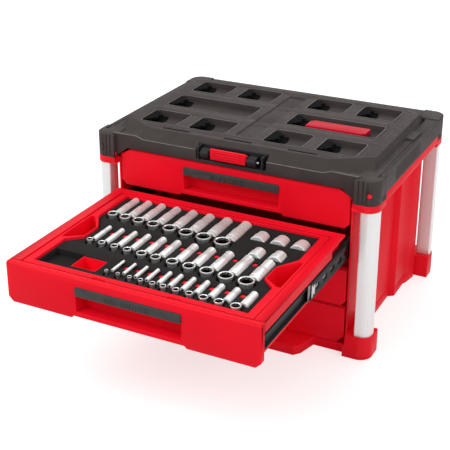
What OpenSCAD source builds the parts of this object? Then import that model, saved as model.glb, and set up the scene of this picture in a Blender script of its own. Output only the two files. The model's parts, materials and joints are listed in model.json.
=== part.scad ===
// Drawer box for socket sets: a moulded cabinet with four drawers on ball slides,
// aluminium corner posts and a lid that a like box stacks on. Millimetres, +Z up,
// drawers open towards -Y. Drawer 1 is the top one; drawer 2 is drawn pulled out.
// The origin is on the floor, under the middle of the four feet.

/* [Overall] */
// Width over the feet and the lid
overall_w = 564; // [560:1:572]
// Depth over the feet and the lid
overall_d = 414; // [412:1:420]
// Height to the top of the lid
overall_h = 363; // [363:0.5:368]

/* [Cabinet] */
// Width over the side walls in front of their bulge
core_w = 472; // [471:0.5:473]
// Thickness of the side walls and the back wall
wall_t = 3.5; // [3:0.25:3.75]
// How far the side walls bulge out at the rear
bulge = 20; // [14:1:22]
// Thickness of the base skirt and the lid shell
shell_t = 4; // [3:0.5:4.5]
// Height of the hollow under the base that takes a lid below
stack_recess = 17; // [16:0.5:17.5]
// How far the front lip stands out in front of the base
chin_depth = 50; // [44:1:54]

/* [Feet and posts] */
// Side of a square foot
foot_w = 50; // [48:1:52]
// Height of a foot
foot_h = 45; // [42:1:48]
// Radius of the outer corner of feet, caps and lid
corner_r = 24; // [18:1:24]
// Side of a corner post
post_w = 29; // [26:1:30]
// Diameter of the tie rod inside a post
tie_rod_d = 6; // [5:0.5:8]

/* [Lid] */
// Drop from the lid's top to its side flanges
crown_h = 18; // [14:1:20]
// Depth of a cleat pocket
pocket_depth = 12; // [8:1:13]
// Length of a cleat pocket across the lid
pocket_w = 76; // [68:1:80]
// Length of a cleat pocket from front to back
pocket_l = 68; // [60:1:72]

/* [Drawers] */
// Width of a drawer front
front_w = 460; // [458:0.5:461]
// Height of a drawer front
front_h = 73.5; // [72:0.5:74]
// Distance from one drawer front to the next
drawer_pitch = 76; // [75.5:0.25:76]
// Lower edge of the lowest drawer front
front_z0 = 19.5; // [19.5:0.5:20]
// Travel of a drawer
drawer_travel = 360; // [320:5:365]
// Thickness of the drawer mouldings
drawer_t = 2.5; // [2:0.25:3]
// Width of the hand recess in a drawer front
grip_w = 192; // [150:2:220]

/* [Slides] */
// Height of the outer slide member
slide_h = 37; // [35:1:37]
// Length of the slides
slide_l = 330; // [320:5:330]
// Sheet thickness of the slide members
slide_t = 1.2; // [1:0.1:1.2]

/* [Tray and foam] */
// Width of the tray insert
tray_w = 418; // [410:1:418]
// Depth of the tray insert
tray_d = 312; // [306:1:314]
// Width of the foam
foam_w = 388; // [380:1:392]

/* [Latch] */
// Width of the latch flap
flap_w = 69; // [60:1:72]
// Diameter of the latch pivot pin
latch_pin_d = 4; // [3:0.5:5]
// Width of the release lever under the front lip
lever_w = 130; // [100:2:136]

/* [Hidden] */
$fn = 48;
eps = 0.01;
cut = 1;

red = [0.87, 0.11, 0.17];
dark = [0.3, 0.28, 0.27];
black = [0.12, 0.12, 0.12];
steel = [0.75, 0.76, 0.78];
alloy = [0.88, 0.87, 0.87];

half_w = overall_w / 2;
half_d = overall_d / 2;
core_half = core_w / 2;
wall_in = core_half - wall_t;
core_front = -half_d + 13;
core_back = half_d - 12;
base_top = 22;
lip_top = 18.5;
deck_z = overall_h - 66;
deck_t = 3;
cap_z = overall_h - 74;
column_z = overall_h - 61;
column_top = overall_h - 16;
flange_z = overall_h - crown_h;
flange_low = overall_h - 50;
fascia_low = overall_h - 40;
post_x = half_w - post_w / 2 - 2;
post_y = half_d - post_w / 2 - 4.5;
post_z = 8;
post_fit = 0.3;
column_w = half_w - 239;

// Drawers
front_y = -half_d + 12;
front_t = 3.5;
front_lip = 12;
box_half = 219.3;
box_back = 150;
rim_t = 4.5;
rim_open = 211;
function rim_top(n) = n == 1 ? front_h - 13 : front_h - 0.5;
function front_z(n) = front_z0 + drawer_pitch * (4 - n);
function pulled(n) = n == 2 ? drawer_travel : 0;

// Slide members, as heights above and below the slide's own middle
slide_up = 34;
slide_x = wall_in;
slide_front = front_y + front_lip + 1;
ball_gap = 1.85;
mid_h = slide_h - 2 * slide_t - 2 * ball_gap;
inner_h = mid_h - 2 * slide_t - 2 * ball_gap;
cage_l = 150;
cage_front = slide_front + drawer_travel / 4 - 10;

// Latch
latch_y = -half_d + 10;
latch_z = overall_h - 22;
lever_y = core_front - 14;
lever_z = 13;

// Calls children as they are and mirrored left to right
module flip_x() { children(); mirror([1, 0, 0]) children(); }

// Calls children as they are and mirrored front to back
module flip_y() { children(); mirror([0, 1, 0]) children(); }

// Right half of an outline, front to back, followed by its mirror image
function both_sides(p) = concat(p, [for (i = [len(p) - 1:-1:0]) [-p[i][0], p[i][1]]]);

// Rectangle with round corners, centred
module round_rect(w, d, r) {
    square([w - 2 * r, d], center = true);
    square([w, d - 2 * r], center = true);
    for (sx = [-1, 1], sy = [-1, 1]) translate([sx * (w / 2 - r), sy * (d / 2 - r)]) circle(r = r);
}

// Block that runs along X with round corners seen from above
module round_block(w, d, h, r) {
    linear_extrude(h) round_rect(w, d, r);
}

// Plan of the cabinet core, drawn in by g: straight in front, bulged at the rear
function core_side(g) = [[core_half - g, core_front + g], [core_half - g, 43],
    [core_half + 0.55 * bulge - g, 52], [core_half + 0.55 * bulge - g, 109],
    [core_half + 0.7 * bulge - g, 115], [core_half + bulge - g, 147 - g / 2],
    [core_half + bulge - g, 150 - g], [core_half - g, 150 - g], [core_half - g, core_back - g]];

module core_plan(g) {
    flip_x() polygon(concat([[-eps, core_front + g]], core_side(g), [[-eps, core_back - g]]));
}

// Plan of a block in the rear right corner of the overall outline
module corner_plan(size_x, size_y) {
    intersection() {
        outline_plan(0);
        translate([half_w - size_x, half_d - size_y]) square([size_x + cut, size_y + cut]);
    }
}

// Overall outline with round corners, drawn in by g
module outline_plan(g) {
    round_rect(overall_w - 2 * g, overall_d - 2 * g, corner_r - g);
}

// Calls children at the ten places where cleats sit in the lid's pockets
pocket_rows = [-110, -7, 96];
pocket_cols = [76.6, 179];
long_x = 128;
pan_low = overall_h - pocket_depth - shell_t;
pan_fit = 0.3;
module at_pockets() {
    for (y = [pocket_rows[0], pocket_rows[2]], x = pocket_cols, s = [-1, 1])
        translate([s * x, y, 0]) children();
}

module at_posts() {
    flip_x() flip_y() translate([post_x, post_y, 0]) children();
}

// ---------- cabinet ----------

chin = [[-175, 8], [-163, 12 - chin_depth], [-153, -chin_depth], [153, -chin_depth],
    [163, 12 - chin_depth], [175, 8]];

module base_frame() {
    color(red) difference() {
        union() {
            linear_extrude(base_top) core_plan(0);
            flip_x() flip_y() linear_extrude(foot_h) corner_plan(half_w - core_half, foot_w);
            flip_x() flip_y() linear_extrude(base_top) corner_plan(foot_w, foot_w);
            flip_x() flip_y() foot_gusset();
            translate([0, core_front, 0]) linear_extrude(lip_top) polygon(chin);
        }
        translate([0, 0, -cut]) linear_extrude(stack_recess + cut) core_plan(shell_t);
        // step that the lowest drawer front comes down to
        translate([-wall_in, core_front - cut, lip_top]) cube([2 * wall_in, 17, base_top]);
        // hollow of the front lip, open below, and the well of the release lever
        translate([0, core_front - 4, -cut]) linear_extrude(4 + cut)
            polygon([[-150, 0], [-146, 10 - chin_depth], [146, 10 - chin_depth], [150, 0]]);
        translate([0, lever_y - 9, 6]) linear_extrude(base_top) round_rect(lever_w + 8, 38, 4);
        release_pin_bore(0.05);
        at_posts() {
            translate([0, 0, post_z]) linear_extrude(foot_h) round_rect(post_w + 2 * post_fit,
                post_w + 2 * post_fit, 4);
            translate([0, 0, -cut]) cylinder(d = tie_rod_d + 0.4, h = post_z + 2 * cut);
            translate([0, 0, -cut]) cylinder(d = 2 * tie_rod_d + 2, h = 5 + cut);
        }
    }
    color(red) at_pockets() base_cleat();
}

// Web that braces a foot against the wall above it
module foot_gusset() {
    translate([core_half - 3, half_d - foot_w + 3, foot_h]) rotate([90, 0, 0]) linear_extrude(3)
        polygon([[3, 0], [18, 0], [3, 26]]);
}

// Cleat under the base: a stem with a plate that hooks under the tongue of a pocket
module base_cleat() {
    translate([6, 0, 6]) round_block(pocket_w - 30, pocket_l - 16, 4, 5);
    translate([6, 0, 6]) round_block(pocket_w - 42, pocket_l - 30, stack_recess - 6 + eps, 4);
}

module side_wall() {
    color(red) difference() {
        translate([0, 0, base_top]) linear_extrude(deck_z - base_top) polygon(concat(
            core_side(0), [[wall_in, core_back], [wall_in, 150 - wall_t],
            [core_half + bulge - wall_t, 150 - wall_t], [core_half + 0.7 * bulge - wall_t, 116],
            [core_half + 0.55 * bulge - wall_t, 110], [core_half + 0.55 * bulge - wall_t, 53.5],
            [wall_in, 44.6], [wall_in, core_front]]));
        for (n = [1:4]) at_slide_screws(n) rotate([0, 90, 0])
            translate([0, 0, -cut]) cylinder(d = 4, h = 3 + cut);
    }
}

module back_wall() {
    rib_w = 24;
    color(red) translate([-wall_in, core_back - wall_t, base_top])
        cube([2 * wall_in, wall_t, deck_z - base_top]);
    color(red) for (i = [-3:3]) translate([i * 62 - rib_w / 2, core_back - eps, foot_h])
        cube([rib_w, 2.5, deck_z - foot_h - 14]);
}

module top_deck() {
    color(red) difference() {
        union() {
            translate([0, 0, deck_z]) linear_extrude(deck_t) outline_plan(0);
            translate([0, 0, deck_z]) linear_extrude(flange_low - deck_z) difference() {
                outline_plan(0);
                outline_plan(3);
            }
            flip_x() flip_y() translate([0, 0, cap_z]) linear_extrude(column_z - cap_z)
                corner_plan(half_w - core_half, foot_w);
            translate([0, 0, deck_z]) linear_extrude(24) difference() {
                translate([-core_half, core_front + 5]) square([core_w, core_back - core_front - 5]);
                translate([-wall_in, core_front - cut])
                    square([2 * wall_in, core_back - core_front - wall_t + cut]);
            }
        }
        translate([-wall_in, -half_d - cut, deck_z - cut])
            cube([2 * wall_in, core_back - wall_t + half_d + cut, 40]);
        // the front between the caps is open, and the lid's columns stand on the caps
        translate([-core_half, -half_d - cut, deck_z - 20]) cube([core_w, 13 + cut, 60]);
        flip_x() flip_y() translate([0, 0, column_z]) linear_extrude(40)
            translate([core_half + eps, half_d - foot_w]) square([60, 60]);
        at_posts() {
            translate([0, 0, cap_z - cut]) linear_extrude(7 + cut)
                round_rect(post_w + 2 * post_fit, post_w + 2 * post_fit, 4);
            translate([0, 0, cap_z]) cylinder(d = tie_rod_d + 0.2, h = 11);
        }
        at_lid_screws() translate([0, 0, deck_z - cut]) cylinder(d = 4.4, h = 2 * deck_t);
    }
}

// Screws through the deck into the lid: along both sides and the back
module at_lid_screws() {
    flip_x() for (y = [-110, 0, 110]) translate([half_w - 14, y, 0]) children();
}

module lid_screws() {
    color(steel) at_lid_screws() {
        translate([0, 0, deck_z - 3]) cylinder(d = 8, h = 3);
        translate([0, 0, deck_z - eps]) cylinder(d = 4, h = 20);
    }
}

// Extruded aluminium post: fluted faces, a hollow middle and a sleeve for the tie rod
module post() {
    web = 2.2;
    color(alloy) translate([post_x, post_y, post_z]) linear_extrude(cap_z + 7 - post_z)
    difference() {
        round_rect(post_w, post_w, 4);
        for (i = [-1:1]) {
            translate([i * post_w / 3.6, post_w / 2]) circle(r = 1.5);
            translate([post_w / 2, i * post_w / 3.6]) circle(r = 1.5);
        }
        difference() {
            round_rect(post_w - 2 * web - 2, post_w - 2 * web - 2, 3);
            circle(d = tie_rod_d + 4);
            square([web, post_w], center = true);
            square([post_w, web], center = true);
        }
        circle(d = tie_rod_d + 0.2);
    }
}

module tie_rods() {
    color(steel) at_posts() {
        translate([0, 0, 1]) cylinder(d = 2 * tie_rod_d, h = 4, $fn = 6);
        translate([0, 0, 5 - eps]) cylinder(d = tie_rod_d, h = cap_z + 9 - 5);
    }
}

// ---------- lid ----------

// Raised middle of the lid, drawn in by g on all sides and at the top
module lid_crown(g) {
    top = overall_h - g;
    low = flange_z - 8;
    difference() {
        intersection() {
            translate([-half_w, 0, 0]) rotate([90, 0, 90]) linear_extrude(overall_w)
                polygon([[core_front - 3 + g, low], [core_front - 3 + g, overall_h - 17 - g],
                [-175 + g / 2, top], [145 - g / 2, top], [150 - g, flange_z], [150 - g, low]]);
            translate([0, half_d, 0]) rotate([90, 0, 0]) linear_extrude(overall_d) flip_x()
                polygon([[-eps, low], [256 - g, low], [256 - g, flange_z], [250 - g / 2, top],
                [-eps, top]]);
        }
        // facets that fall from the front and rear corners of the crown to the columns
        flip_x() translate([182, -175, overall_h - 1.3 * g]) rotate([0, 0, 34]) rotate([38, 0, 0])
            translate([-120, -200, 0]) cube([320, 500, 120]);
        flip_x() translate([250, 128, overall_h - 1.3 * g]) rotate([0, 0, 140]) rotate([40, 0, 0])
            translate([-100, -120, 0]) cube([200, 300, 60]);
    }
}

// Outline of a cleat pocket, grown by g
module pocket_plan(len_x, g) {
    round_rect(len_x + 2 * g, pocket_l + 2 * g, 7 + g);
}

// Plan of the pockets in one row, grown by g: four short ones, or two long ones in the middle
module row_plan(row, g) {
    if (row == 1) for (s = [-1, 1])
        translate([s * long_x, pocket_rows[row]]) pocket_plan(pocket_w + 102, g);
    else for (x = pocket_cols, s = [-1, 1])
        translate([s * x, pocket_rows[row]]) pocket_plan(pocket_w, g);
}

// Plan of the pan that holds one row of pockets, grown by g
module pan_plan(row, g) {
    translate([0, pocket_rows[row]]) round_rect(2 * (pocket_cols[1] + pocket_w / 2 + shell_t + g),
        pocket_l + 2 * shell_t + 2 * g, 7 + shell_t + g);
}

// Pan with one row of pockets: it drops into a window of the lid and rests on the lid's webs
module lid_pan(row) {
    color(dark) difference() {
        translate([0, 0, pan_low]) linear_extrude(overall_h - pan_low) pan_plan(row, 0);
        translate([0, 0, overall_h - pocket_depth]) linear_extrude(30) row_plan(row, 0);
        // hollow below, between the pockets
        translate([0, 0, pan_low - cut]) linear_extrude(pocket_depth + cut) difference() {
            pan_plan(row, -shell_t);
            row_plan(row, shell_t);
        }
        lid_tread();
        if (row == 1) translate([0, 0, overall_h - pocket_depth - 1.2])
            linear_extrude(3) badge_plan(0.2);
    }
    color(dark) at_tongues(row) pocket_tongue();
}

// Shallow tread along the middle of the lid
module lid_tread() {
    translate([0, -11, overall_h - 2.5]) linear_extrude(10) round_rect(36, 254, 3);
}

// Tongue that overhangs the left end of a pocket, with a notched tip
module pocket_tongue() {
    translate([0, 0, overall_h - 5]) linear_extrude(4) polygon([[-3, -24], [8, -24], [11, -18],
        [15, -18], [17, -10], [22, -8], [22, -2], [17, 0], [17, 6], [22, 8], [22, 14], [16, 17],
        [13, 24], [-3, 24]]);
}

module at_tongues(row) {
    if (row == 1) for (s = [-1, 1])
        translate([s * long_x - (pocket_w + 102) / 2, pocket_rows[row], 0]) children();
    else for (x = pocket_cols, s = [-1, 1])
        translate([s * x - pocket_w / 2, pocket_rows[row], 0]) children();
}

// Face band that runs along the front, with its ridge rising to the columns
module lid_fascia() {
    translate([0, core_front + 4, 0]) rotate([90, 0, 0]) linear_extrude(9) flip_x() polygon([
        [-eps, fascia_low], [215, fascia_low], [237, fascia_low - 18], [246, column_z],
        [246, overall_h - 13], [194, overall_h - 12], [178, overall_h - 17],
        [-eps, overall_h - 17]]);
}

module lid_column() {
    difference() {
        translate([0, 0, column_z]) linear_extrude(column_top - column_z)
            corner_plan(column_w, foot_w);
        // flutes on both outer faces
        for (i = [0:2]) {
            translate([half_w - column_w + 8 + 8 * i, half_d, column_z + 3])
                cylinder(r = 1.2, h = 50);
            translate([half_w, half_d - foot_w + 6 + 7 * i, column_z + 3])
                cylinder(r = 1.2, h = 50);
        }
        translate([0, 0, column_z - cut]) linear_extrude(column_top - column_z - 3)
            translate([half_w - column_w + 3.5, half_d - foot_w + 3.5]) square([22, 28]);
    }
}

pin_x = half_w - 15;
pin_z = overall_h - 42;

module lid() {
    color(dark) difference() {
        union() {
            translate([0, 0, flange_low]) linear_extrude(flange_z - flange_low) intersection() {
                outline_plan(0);
                translate([-half_w, core_front - 3]) square([overall_w, overall_d]);
            }
            lid_crown(0);
            lid_fascia();
            flip_x() flip_y() lid_column();
        }
        // inside of the shell, below the flanges and below the crown
        difference() {
            union() {
                translate([0, 0, flange_low - cut])
                    linear_extrude(flange_z - flange_low - shell_t + cut) intersection() {
                        outline_plan(shell_t);
                        translate([-half_w, core_front + 4]) square([overall_w, overall_d]);
                    }
                translate([0, 0, 0]) lid_crown(shell_t);
            }
            latch_box(shell_t);
            flip_x() flip_y() translate([0, 0, column_z]) linear_extrude(60)
                corner_plan(column_w, foot_w);
            at_lid_screws() translate([0, 0, deck_z]) cylinder(d = 10, h = 60);
            for (x = [-160, 0, 160]) translate([x, -190, fascia_low]) cube([2.5, 330, 60]);
        }
        // windows for the pans
        for (row = [0:2]) translate([0, 0, pan_low]) linear_extrude(40) pan_plan(row, pan_fit);
        // opening that the top drawer front passes through
        translate([0, core_front + 40, 0]) rotate([90, 0, 0]) linear_extrude(60) flip_x()
            polygon([[-eps, flange_low - 20], [238.9, flange_low - 20], [238.9, column_z + 2],
            [237, fascia_low - 18], [215, fascia_low], [-eps, fascia_low]]);
        latch_box(0);
        at_latch_screws() cylinder(d = 3.1, h = 7);
        // slots that the latch of a box above drops into
        for (x = [-126.5, 0, 126.5]) translate([x, -164, overall_h - 6])
            round_block(56, 5, 10, 2);
        lid_tread();
        // valley behind each side flange's outer edge
        flip_x() translate([half_w - 10, -52, flange_z - 1.2]) linear_extrude(10)
            round_rect(5, 250, 2);
        at_lid_screws() translate([0, 0, deck_z]) cylinder(d = 4.2, h = 22);
        flip_x() translate([pin_x, -half_d - cut, pin_z]) rotate([-90, 0, 0])
            cylinder(d = 10, h = 3 + cut);
        flip_x() translate([pin_x, -half_d - cut, pin_z]) rotate([-90, 0, 0])
            cylinder(d = 5.1, h = 12);
    }
    // grip ribs on the outer faces and a raised pad on each flange
    color(dark) flip_x() for (i = [0:11])
        translate([half_w - 1.2, -108 + 12 * i, flange_low + 8]) cube([1.2, 5, 22]);
    color(dark) flip_x() translate([263, 48, flange_z - eps]) round_block(16, 47, 3, 3);
}

// Recess in the lid's front that holds the latch, grown by g
module latch_box(g) {
    translate([-67 - g, -half_d - 20, latch_z - 12 - g]) cube([139 + 2 * g, 43 + g, 28 + 2 * g]);
}

// Slanted four-sided badge without lettering
module badge_plan(g) {
    polygon([[74 - g, -25 - g], [185 + g, -25 - g], [192 + g, -18 - g], [192 + g, 9 + g],
        [81 - g, 9 + g], [74 - g, 2 + g]]);
}

module lid_badge() {
    color(red) translate([0, 0, overall_h - pocket_depth - 1]) linear_extrude(2.2) badge_plan(0);
}

// Pins on the front columns, pressed into their bores
module lid_pins() {
    color(red) flip_x() translate([pin_x, -half_d + 1.2, pin_z]) rotate([-90, 0, 0]) {
        cylinder(d = 8, h = 1.8);
        cylinder(d = 5, h = 9);
    }
}

// ---------- latch on the lid ----------

module latch_bracket() {
    color(black) difference() {
        union() {
            // back plate with two bosses that hold the pivot pin
            translate([-64, latch_y + 10, latch_z - 11]) cube([133, 3, 26]);
            for (x = [-56, 38]) translate([x, latch_y, latch_z]) rotate([0, 90, 0])
                cylinder(d = 18, h = 16);
            for (x = [-56, 38]) translate([x, latch_y, latch_z - 9]) cube([16, 11, 18]);
            for (x = [-63, 64]) translate([x, latch_y - 6, latch_z - 11]) cube([3, 17, 24]);
        }
        translate([-70, latch_y, latch_z]) rotate([0, 90, 0]) cylinder(d = latch_pin_d, h = 140);
        at_latch_screws() cylinder(d = 3.2, h = 6);
    }
}

module at_latch_screws() {
    for (x = [-20, 0, 20]) translate([x, latch_y + 9, latch_z - 6]) rotate([-90, 0, 0]) children();
}

module latch_screws() {
    color(steel) at_latch_screws() {
        cylinder(d = 6, h = 1);
        translate([0, 0, 1 - eps]) cylinder(d = 3, h = 6);
    }
}

module latch_pin() {
    color(steel) translate([-58, latch_y, latch_z]) rotate([0, 90, 0])
        cylinder(d = latch_pin_d - 0.1, h = 116);
}

module latch_flap() {
    half = flap_w / 2;
    color(red) difference() {
        union() {
            translate([-half, latch_y - 10, latch_z - 5.5]) cube([flap_w, 4.5, 20]);
            translate([-half, latch_y - 8, latch_z + 6]) cube([flap_w, 12, 3]);
            for (i = [0:2]) translate([-half + 12, latch_y - 10.8, latch_z - 0.5 + 5 * i])
                cube([flap_w - 24, 1, 1.2]);
            for (x = [-half, half - 10]) translate([x, latch_y, latch_z]) rotate([0, 90, 0])
                cylinder(d = 11, h = 10);
            for (x = [-half, half - 10]) translate([x, latch_y - 8, latch_z - 4]) cube([10, 8, 11]);
        }
        translate([-half - cut, latch_y, latch_z]) rotate([0, 90, 0])
            cylinder(d = latch_pin_d, h = flap_w + 2 * cut);
    }
}

// ---------- release lever in the front lip ----------

// Bore across the well of the lever, with clearance g on the pin's radius
module release_pin_bore(g) {
    translate([-lever_w / 2 - 9, lever_y, lever_z]) rotate([0, 90, 0])
        cylinder(r = 2 + g, h = lever_w + 18);
}

module release_pin() {
    color(steel) translate([-lever_w / 2 - 8, lever_y, lever_z]) rotate([0, 90, 0])
        cylinder(d = 4, h = lever_w + 16);
}

module release_lever() {
    color(red) difference() {
        union() {
            translate([-lever_w / 2, lever_y - 26, lever_z + 1]) cube([lever_w, 26, 3]);
            translate([-lever_w / 2, lever_y, lever_z]) rotate([0, 90, 0])
                cylinder(d = 8, h = lever_w);
            for (i = [0:3]) translate([-lever_w / 2 + 15, lever_y - 24 + 4 * i, lever_z + 4 - eps])
                cube([lever_w - 30, 1.5, 1]);
        }
        translate([-lever_w, lever_y, lever_z]) rotate([0, 90, 0])
            cylinder(d = 4.2, h = 2 * lever_w);
    }
}

// Points of a ring of the spring's wire, as a square-cut tube swept along a helix
spring_r = 3.4;
wire_r = 0.45;
spring_turns = 4;
spring_steps = 20;
spring_y = lever_y - 18;
function spring_ring(i) = let (a = 360 * i / spring_steps, z = 6.5 + 6.9 * i / (spring_turns *
    spring_steps)) [for (k = [0:5]) let (b = 60 * k, r = spring_r + wire_r * cos(b))
    [r * cos(a), spring_y + r * sin(a), z + wire_r * sin(b)]];

module release_spring() {
    last = spring_turns * spring_steps;
    points = [for (i = [0:last]) each spring_ring(i)];
    sides = [for (i = [0:last - 1], k = [0:5]) let (m = (k + 1) % 6)
        [6 * i + k, 6 * i + m, 6 * i + 6 + m, 6 * i + 6 + k]];
    ends = [[5, 4, 3, 2, 1, 0], [for (k = [0:5]) 6 * last + k]];
    color(steel) polyhedron(points, concat(sides, ends));
}

// ---------- slides ----------

// C section that lies open towards -X: web at x, arms of length arm, height h
module c_section(x, arm, h, t) {
    difference() {
        translate([x - arm, -h / 2]) square([arm, h]);
        translate([x - arm - cut, -h / 2 + t]) square([arm - t + cut, h - 2 * t]);
    }
}

// Runs a section drawn in X and Z along Y from y over length len
module along_y(y, len) {
    translate([0, y + len, 0]) rotate([90, 0, 0]) linear_extrude(len) children();
}

screw_ys = [-150, 0, 130];
module at_slide_screws(n) {
    for (y = screw_ys) translate([wall_in, y, front_z(n) + slide_up]) children();
}

module slide_outer(n) {
    color(black) flip_x() difference() {
        translate([0, 0, front_z(n) + slide_up]) along_y(slide_front, slide_l)
            c_section(slide_x, 10, slide_h, slide_t);
        at_slide_screws(n) translate([-3, 0, 0]) rotate([0, 90, 0]) cylinder(d = 4.2, h = 4);
    }
}

module slide_screws() {
    color(steel) flip_x() for (n = [1:4]) at_slide_screws(n) rotate([0, 90, 0]) {
        translate([0, 0, -slide_t - 1]) cylinder(d = 7.5, h = 1);
        translate([0, 0, -slide_t - eps]) cylinder(d = 3.9, h = slide_t + 2.5);
    }
}

module slide_mid(n) {
    x = slide_x - slide_t - 1.9;
    color(black) flip_x() difference() {
        translate([0, -pulled(n) / 2, front_z(n) + slide_up]) along_y(slide_front, slide_l)
            c_section(x, 8.3, mid_h, slide_t);
        for (i = [0:8]) translate([x - 3, slide_front + 26 + 34 * i - pulled(n) / 2,
            front_z(n) + slide_up]) rotate([0, 90, 0]) round_block(9, 18, 5, 3);
    }
}

module slide_inner(n) {
    color(black) flip_x() translate([2 * box_half + 7.3, -pulled(n), front_z(n) + slide_up])
        mirror([1, 0, 0]) along_y(slide_front, slide_l)
            c_section(box_half + 7.3, 7.3, inner_h, slide_t);
}

// Ball cage between the middle and the inner member, with its rows of balls
module ball_cage(n) {
    x = slide_x - 2 * slide_t - 2.1;
    color(steel) flip_x() translate([0, -0.75 * pulled(n), front_z(n) + slide_up]) {
        along_y(cage_front, cage_l) c_section(x, 6, mid_h - 2 * slide_t - 0.5, 0.7);
        for (s = [-1, 1], i = [0:5]) translate([x - 3.5, cage_front + 8 + 26 * i,
            s * (mid_h / 2 - slide_t - 0.95)]) sphere(d = 1.6, $fn = 16);
    }
}

// ---------- drawers ----------

// Face of a drawer front: the top drawer's upper and the lowest drawer's lower corners are cut
function front_cut_top(n) = n == 1 ? [22, 12] : [2, 2];
function front_cut_low(n) = n == 4 ? [13, 14] : [9, 9];
module front_face(n, g) {
    w = front_w / 2 - g;
    t = front_cut_top(n);
    b = front_cut_low(n);
    flip_x() polygon([[-eps, g + 4], [101 - g, g + 4], [105 - g, g], [w - b[0], g],
        [w, g + b[1]], [w, front_h - g - t[1]], [w - t[0], front_h - g], [-eps, front_h - g]]);
}

grip_low = 12;
grip_high = 58;
grip_bar_h = 17;

module drawer_shell(n) {
    top = rim_top(n);
    inner_back = box_back - drawer_t;
    skirt_low = slide_up + slide_h / 2 + 2;
    color(red) translate([0, -pulled(n), front_z(n)]) difference() {
        union() {
            // hollow front with returned edges
            difference() {
                along_y(front_y, front_lip) front_face(n, 0);
                along_y(front_y + front_t, front_lip) front_face(n, front_t);
            }
            // box behind the front
            translate([-box_half, front_y + front_lip - drawer_t, 6])
                cube([2 * box_half, box_back - front_y - front_lip + drawer_t, top - 6]);
            // rim flange over the slides and its skirt in front
            translate([-front_w / 2 + 0.5, front_y + front_t, top - rim_t])
                cube([front_w - 1, box_back - front_y - front_t, rim_t]);
            flip_x() translate([front_w / 2 - 3.5, front_y + front_t, skirt_low])
                cube([3, 280, top - skirt_low]);
            // walls of the hand recess
            translate([-grip_w / 2 - drawer_t, front_y + 1, grip_low - drawer_t])
                cube([grip_w + 2 * drawer_t, 27, grip_high - grip_low + 2 * drawer_t]);
        }
        difference() {
            union() {
                translate([-box_half + drawer_t, front_y + front_lip, 6 + drawer_t]) cube([2 *
                    (box_half - drawer_t), inner_back - front_y - front_lip, top - rim_t - 6 - drawer_t]);
                translate([-rim_open, front_y + front_lip, 6 + drawer_t])
                    cube([2 * rim_open, inner_back - 13 - front_y - front_lip, 80]);
            }
            translate([-grip_w / 2 - drawer_t, front_y, grip_low - drawer_t])
                cube([grip_w + 2 * drawer_t, 28, grip_high - grip_low + 2 * drawer_t]);
        }
        // hand recess, open at the front
        translate([-grip_w / 2, front_y - cut, grip_low])
            cube([grip_w, 28 - drawer_t + cut, grip_high - grip_low]);
        // rounded top edge of the front, as a bevel
        translate([-half_w, front_y - eps, front_h + eps]) rotate([0, 90, 0]) linear_extrude(overall_w)
            polygon([[0, 0], [2.5, 0], [0, 2.5]]);
    }
}

// Rubber bar across the top of the hand recess, with ribs on its face
module drawer_grip(n) {
    color(black) translate([0, -pulled(n), front_z(n) + grip_high - grip_bar_h]) {
        translate([-grip_w / 2, front_y - 2, 0]) rotate([90, 0, 90])
            linear_extrude(grip_w) polygon([[0, 2], [0, grip_bar_h - 3], [3, grip_bar_h],
            [9, grip_bar_h], [9, 5], [6, 1], [2, 0]]);
        for (i = [-7:7]) translate([i * 5.5 - 1, front_y - 2.8, 3]) cube([2, 1, grip_bar_h - 8]);
    }
}

// ---------- tray, foam and sockets of drawer 2 (as if the drawer were shut) ----------

tray_front = front_y + 15;
foam_front = tray_front + 14;
foam_back = tray_front + tray_d - 6;
tray_top = front_z(2) + rim_top(2) - 1.5;
foam_top = front_z(2) + 67;
foam_low = front_z(2) + 30;
notch_y = [-78, -55, -11, 28];
notch_in = 24;

// Outline of the foam with a finger notch in each side, grown by g
module foam_plan(g) {
    w = foam_w / 2 + g;
    polygon(both_sides([[w, foam_front - g], [w, notch_y[0] + g],
        [w - notch_in, notch_y[1] + g], [w - notch_in, notch_y[2] - g], [w, notch_y[3] - g],
        [w, foam_back + g]]));
}

// Finger pocket beside a notch, drawn in by g
module notch_plan(g) {
    w = foam_w / 2 + 2.5 + g;
    flip_x() polygon([[tray_w / 2 - 3.5 - g, notch_y[0] + 6 + g], [w + 2, notch_y[0] + 6 + g],
        [w - notch_in, notch_y[1] + 2.5 + g], [w - notch_in, notch_y[2] - 2.5 - g],
        [w + 2, notch_y[3] - 6 - g], [tray_w / 2 - 3.5 - g, notch_y[3] - 6 - g]]);
}

// Cup of the tray that fills the open compartment of the foam
module tray_cup() {
    difference() {
        translate([0, 0, foam_low - eps]) linear_extrude(foam_top - 1 - foam_low)
            compartment_plan(-0.3);
        translate([0, 0, foam_low + 14]) linear_extrude(60) compartment_plan(-2);
    }
}

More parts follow.
